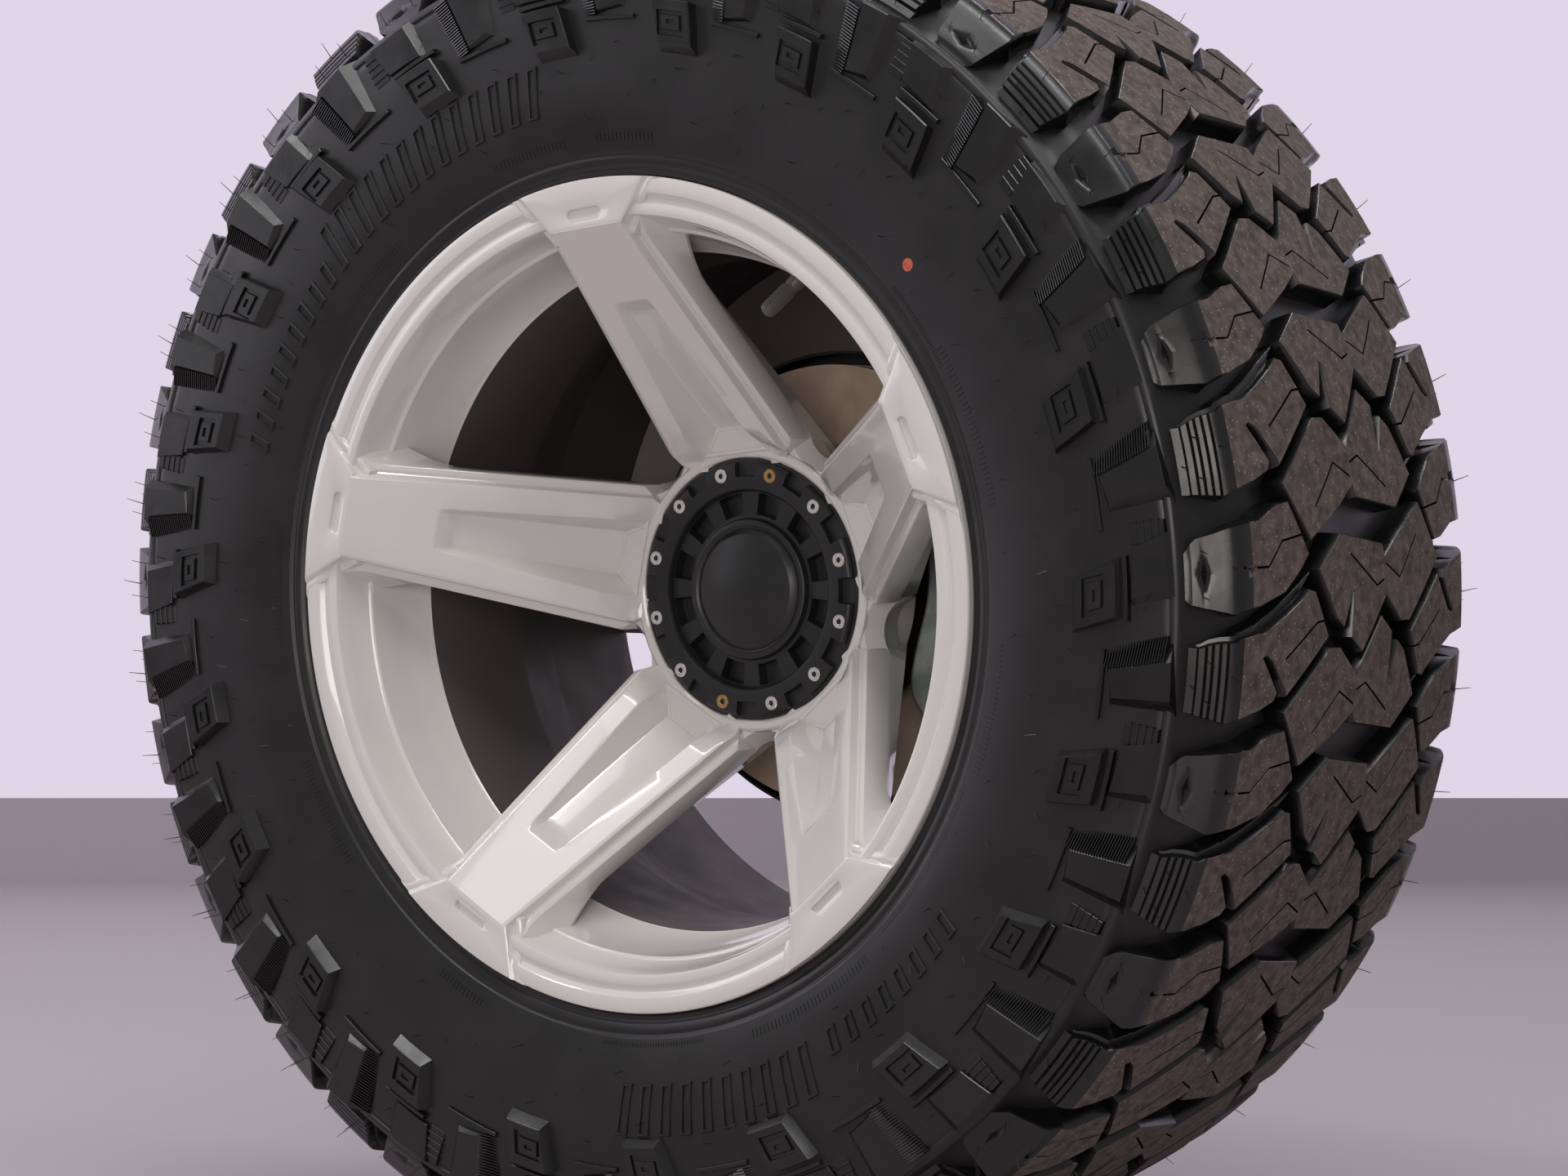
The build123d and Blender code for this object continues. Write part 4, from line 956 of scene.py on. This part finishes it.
# The unlit inside of the socket, with a little dirt.
grain(socket_black, 0.6, 0.05, 0.5)
round_turn = np.linspace(0, 2 * np.pi, 24, endpoint=False)
hexagon = 1.0 / np.cos((round_turn + np.pi / 6) % (np.pi / 3) - np.pi / 6)
screw_rings = ((5.7, 1, -150.0), (5.7, 1, -143.8), (4.9, 1, -143.8), (4.9, 1, -143.4), (4.4, 1, -142.8),
               (2.3, 1, -142.8), (1.75, hexagon, -143.3), (1.7, hexagon, -145.6))
faces = ring_quads(len(screw_rings), 24)[:, ::-1]
screw_faces = [faces[:48], faces[48:144], faces[144:], end_faces(len(screw_rings), 24)[:, ::-1]]
screw_parts, screw_slots = [], []
for screw in range(SCREWS):
    angle = FIRST_SCREW - SCREW_STEP * screw
    middle = 80.4 * np.array([np.cos(angle), np.sin(angle)])
    rings = [np.column_stack([middle[0] + size * shape * np.cos(round_turn), np.full(24, out_of_lip(level)),
                              middle[1] + size * shape * np.sin(round_turn)])
             for size, shape, level in screw_rings]
    screw_parts.append((np.concatenate(rings), screw_faces))
    screw_slots += [2, 1 if screw in (1, 7) else 0, 2, 2]
points, groups = join(screw_parts)
screws = put_mesh("cap_screws", points, groups, [screw_steel, screw_brass, socket_black], screw_slots)
fit_piece(screws, "wheel", "machined_steel")

# Valve: a rubber stem pulled through the rim's hole, with a ribbed plastic dust cap screwed on. It leans
# in towards the axle, clear of the brake.
valve_rubber = new_look("valve stem rubber", "#525150", 0.4)
# Dark grey moulded rubber and plastic.
grain(valve_rubber, 1.0, 0.05, 0.4)
VALVE_TURN = np.radians(62.5)
valve_foot = np.array([240.0, -62.0])
valve_tip = np.array([208.0, -34.0])
valve_shape = np.array([
    # share of the way from foot to tip, radius, height of the ribs
    (0, 8.0, 0), (0.10, 8.0, 0), (0.16, 6.4, 0), (0.40, 5.2, 0), (0.42, 4.6, 0), (0.46, 4.6, 0),
    (0.47, 5.2, 0.25), (0.50, 5.4, 0.35), (0.93, 5.2, 0.35), (0.97, 4.6, 0.2), (1.0, 3.2, 0),
])
way = valve_tip - valve_foot
round_turn = np.linspace(0, 2 * np.pi, 96, endpoint=False)
ribbed = valve_shape[:, 1, None] + valve_shape[:, 2, None] * np.sign(np.cos(16 * round_turn))
normal = np.array([-way[1], way[0]]) / np.linalg.norm(way)
spine = valve_foot + valve_shape[:, 0, None] * way
in_plane = spine[:, None, :] + (ribbed * np.cos(round_turn))[..., None] * normal
valve_points = np.stack([in_plane[..., 0], out_of_lip(in_plane[..., 1]), ribbed * np.sin(round_turn)],
                        axis=-1).reshape(-1, 3)
valve_faces = [ring_quads(*ribbed.shape), end_faces(*ribbed.shape)]
valve = put_mesh("valve_with_cap", turn_about_axle(valve_points, VALVE_TURN), valve_faces, [valve_rubber])
fit_piece(valve, "wheel", "valve_rubber", "valve_stem")

# Brake and axle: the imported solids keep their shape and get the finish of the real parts, which are
# cast iron, turned steel, painted steel and pressed friction compound.
disc_iron = new_look("swept disc iron", "#CDB49F", 0.5, metallic=0.15)
# Grey iron, wiped bright by the pads and tanned by a film of rust; the hat, inside HAT_EDGE, is coloured near
# black.
HAT_EDGE, TRACK_EDGE = 0.094, 0.101     # metres: the pads sweep the disc from here out
offsets = add_node(disc_iron, "ShaderNodeSeparateXYZ", {"Vector": disc_iron.place}).outputs
squares = [add_node(disc_iron, "ShaderNodeMath", {0: offsets[axis], 1: offsets[axis]}, operation="MULTIPLY")
           for axis in ("X", "Z")]
radius_squared = add_node(disc_iron, "ShaderNodeMath", {
    number: square.outputs["Value"] for number, square in enumerate(squares)}, operation="ADD")
hat_to_track = add_node(disc_iron, "ShaderNodeMapRange", {
    "Value": radius_squared.outputs["Value"], "From Min": HAT_EDGE ** 2, "From Max": TRACK_EDGE ** 2})
# Near black on the hat, fading to the track's mottled colour by TRACK_EDGE.
hat_darkened_mix = add_node(disc_iron, "ShaderNodeMix", {
    0: hat_to_track.outputs["Result"], 6: linear("#2B2623"), 7: mottle(disc_iron, 25, "#C4AA95", "#DCC4AF")},
    data_type="RGBA")
tint(disc_iron, hat_darkened_mix.outputs[2])
caliper_iron = new_look("zinc plated casting", "#98A09B", 0.5, metallic=0.25)
# Sand-cast iron with a dull greenish zinc plate.
tint(caliper_iron, mottle(caliper_iron, 18, "#868E89", "#A9B0AB"))
grain(caliper_iron, 1.4, 0.12, 0.5)
chassis_black = new_look("black chassis paint", "#1D1D1E", 0.5)
# Sprayed chassis black on pressed and forged steel, slightly dusty.
tint(chassis_black, mottle(chassis_black, 50, "#19191A", "#262525"))
grain(chassis_black, 1.6, 0.08, 0.4)
turned_steel = new_look("turned steel", "#8F8A84", 0.32, metallic=1.0)
# Bare turned steel with a light oil film.
smear(turned_steel, 20, 0.25, 0.42)
friction_block = new_look("pad friction material", "#2A2724", 0.85)
# Pressed friction compound with metal specks.
tint(friction_block, mottle(friction_block, 1.5, "#1F1C1A", "#4A433C"))
node_finishes = {
    "brake_disc": disc_iron, "caliper_body": caliper_iron, "caliper_bracket": caliper_iron,
    "caliper_piston": turned_steel, "guide_pins": turned_steel, "brake_pad_outer": friction_block,
    "brake_pad_inner": friction_block, "dust_shield": chassis_black, "axle_tube": chassis_black,
    "bearing_retainer": turned_steel, "wheel_bearing": turned_steel, "axle_shaft": turned_steel,
}
for node_name, finish in node_finishes.items():
    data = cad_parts[node_name].data
    data.materials.clear()
    data.materials.append(finish.material)

# Caliper web: the front of the caliper's fingers, sand-cast in one with it and bevelled all round. Its
# edge shows between the spokes.
FINGER_FRONT = -213.4                   # mm outboard of the lip plane
web_outline = np.array([
    (109, 30), (109, 4), (107, -12), (101, -32), (95, -54), (94, -66), (97.5, -78), (106, -89),
    (116, -98), (150, -98), (172, -60), (180, 0), (172, 44), (120, 44),
], float)
web_outline = smooth_curve(np.concatenate([web_outline, web_outline[:1]]), 2)[:-1]
points, groups = stacked([(inset(web_outline, move), FINGER_FRONT + proud) for move, proud in (
    (0.0, 0.0), (0.0, 7.4), (0.8, 8.4), (6.0, 15.6), (7.2, 16.4))])
web = put_mesh("caliper_web", points, groups, [caliper_iron])
fit_piece(web, "axle_end", "caliper_iron")
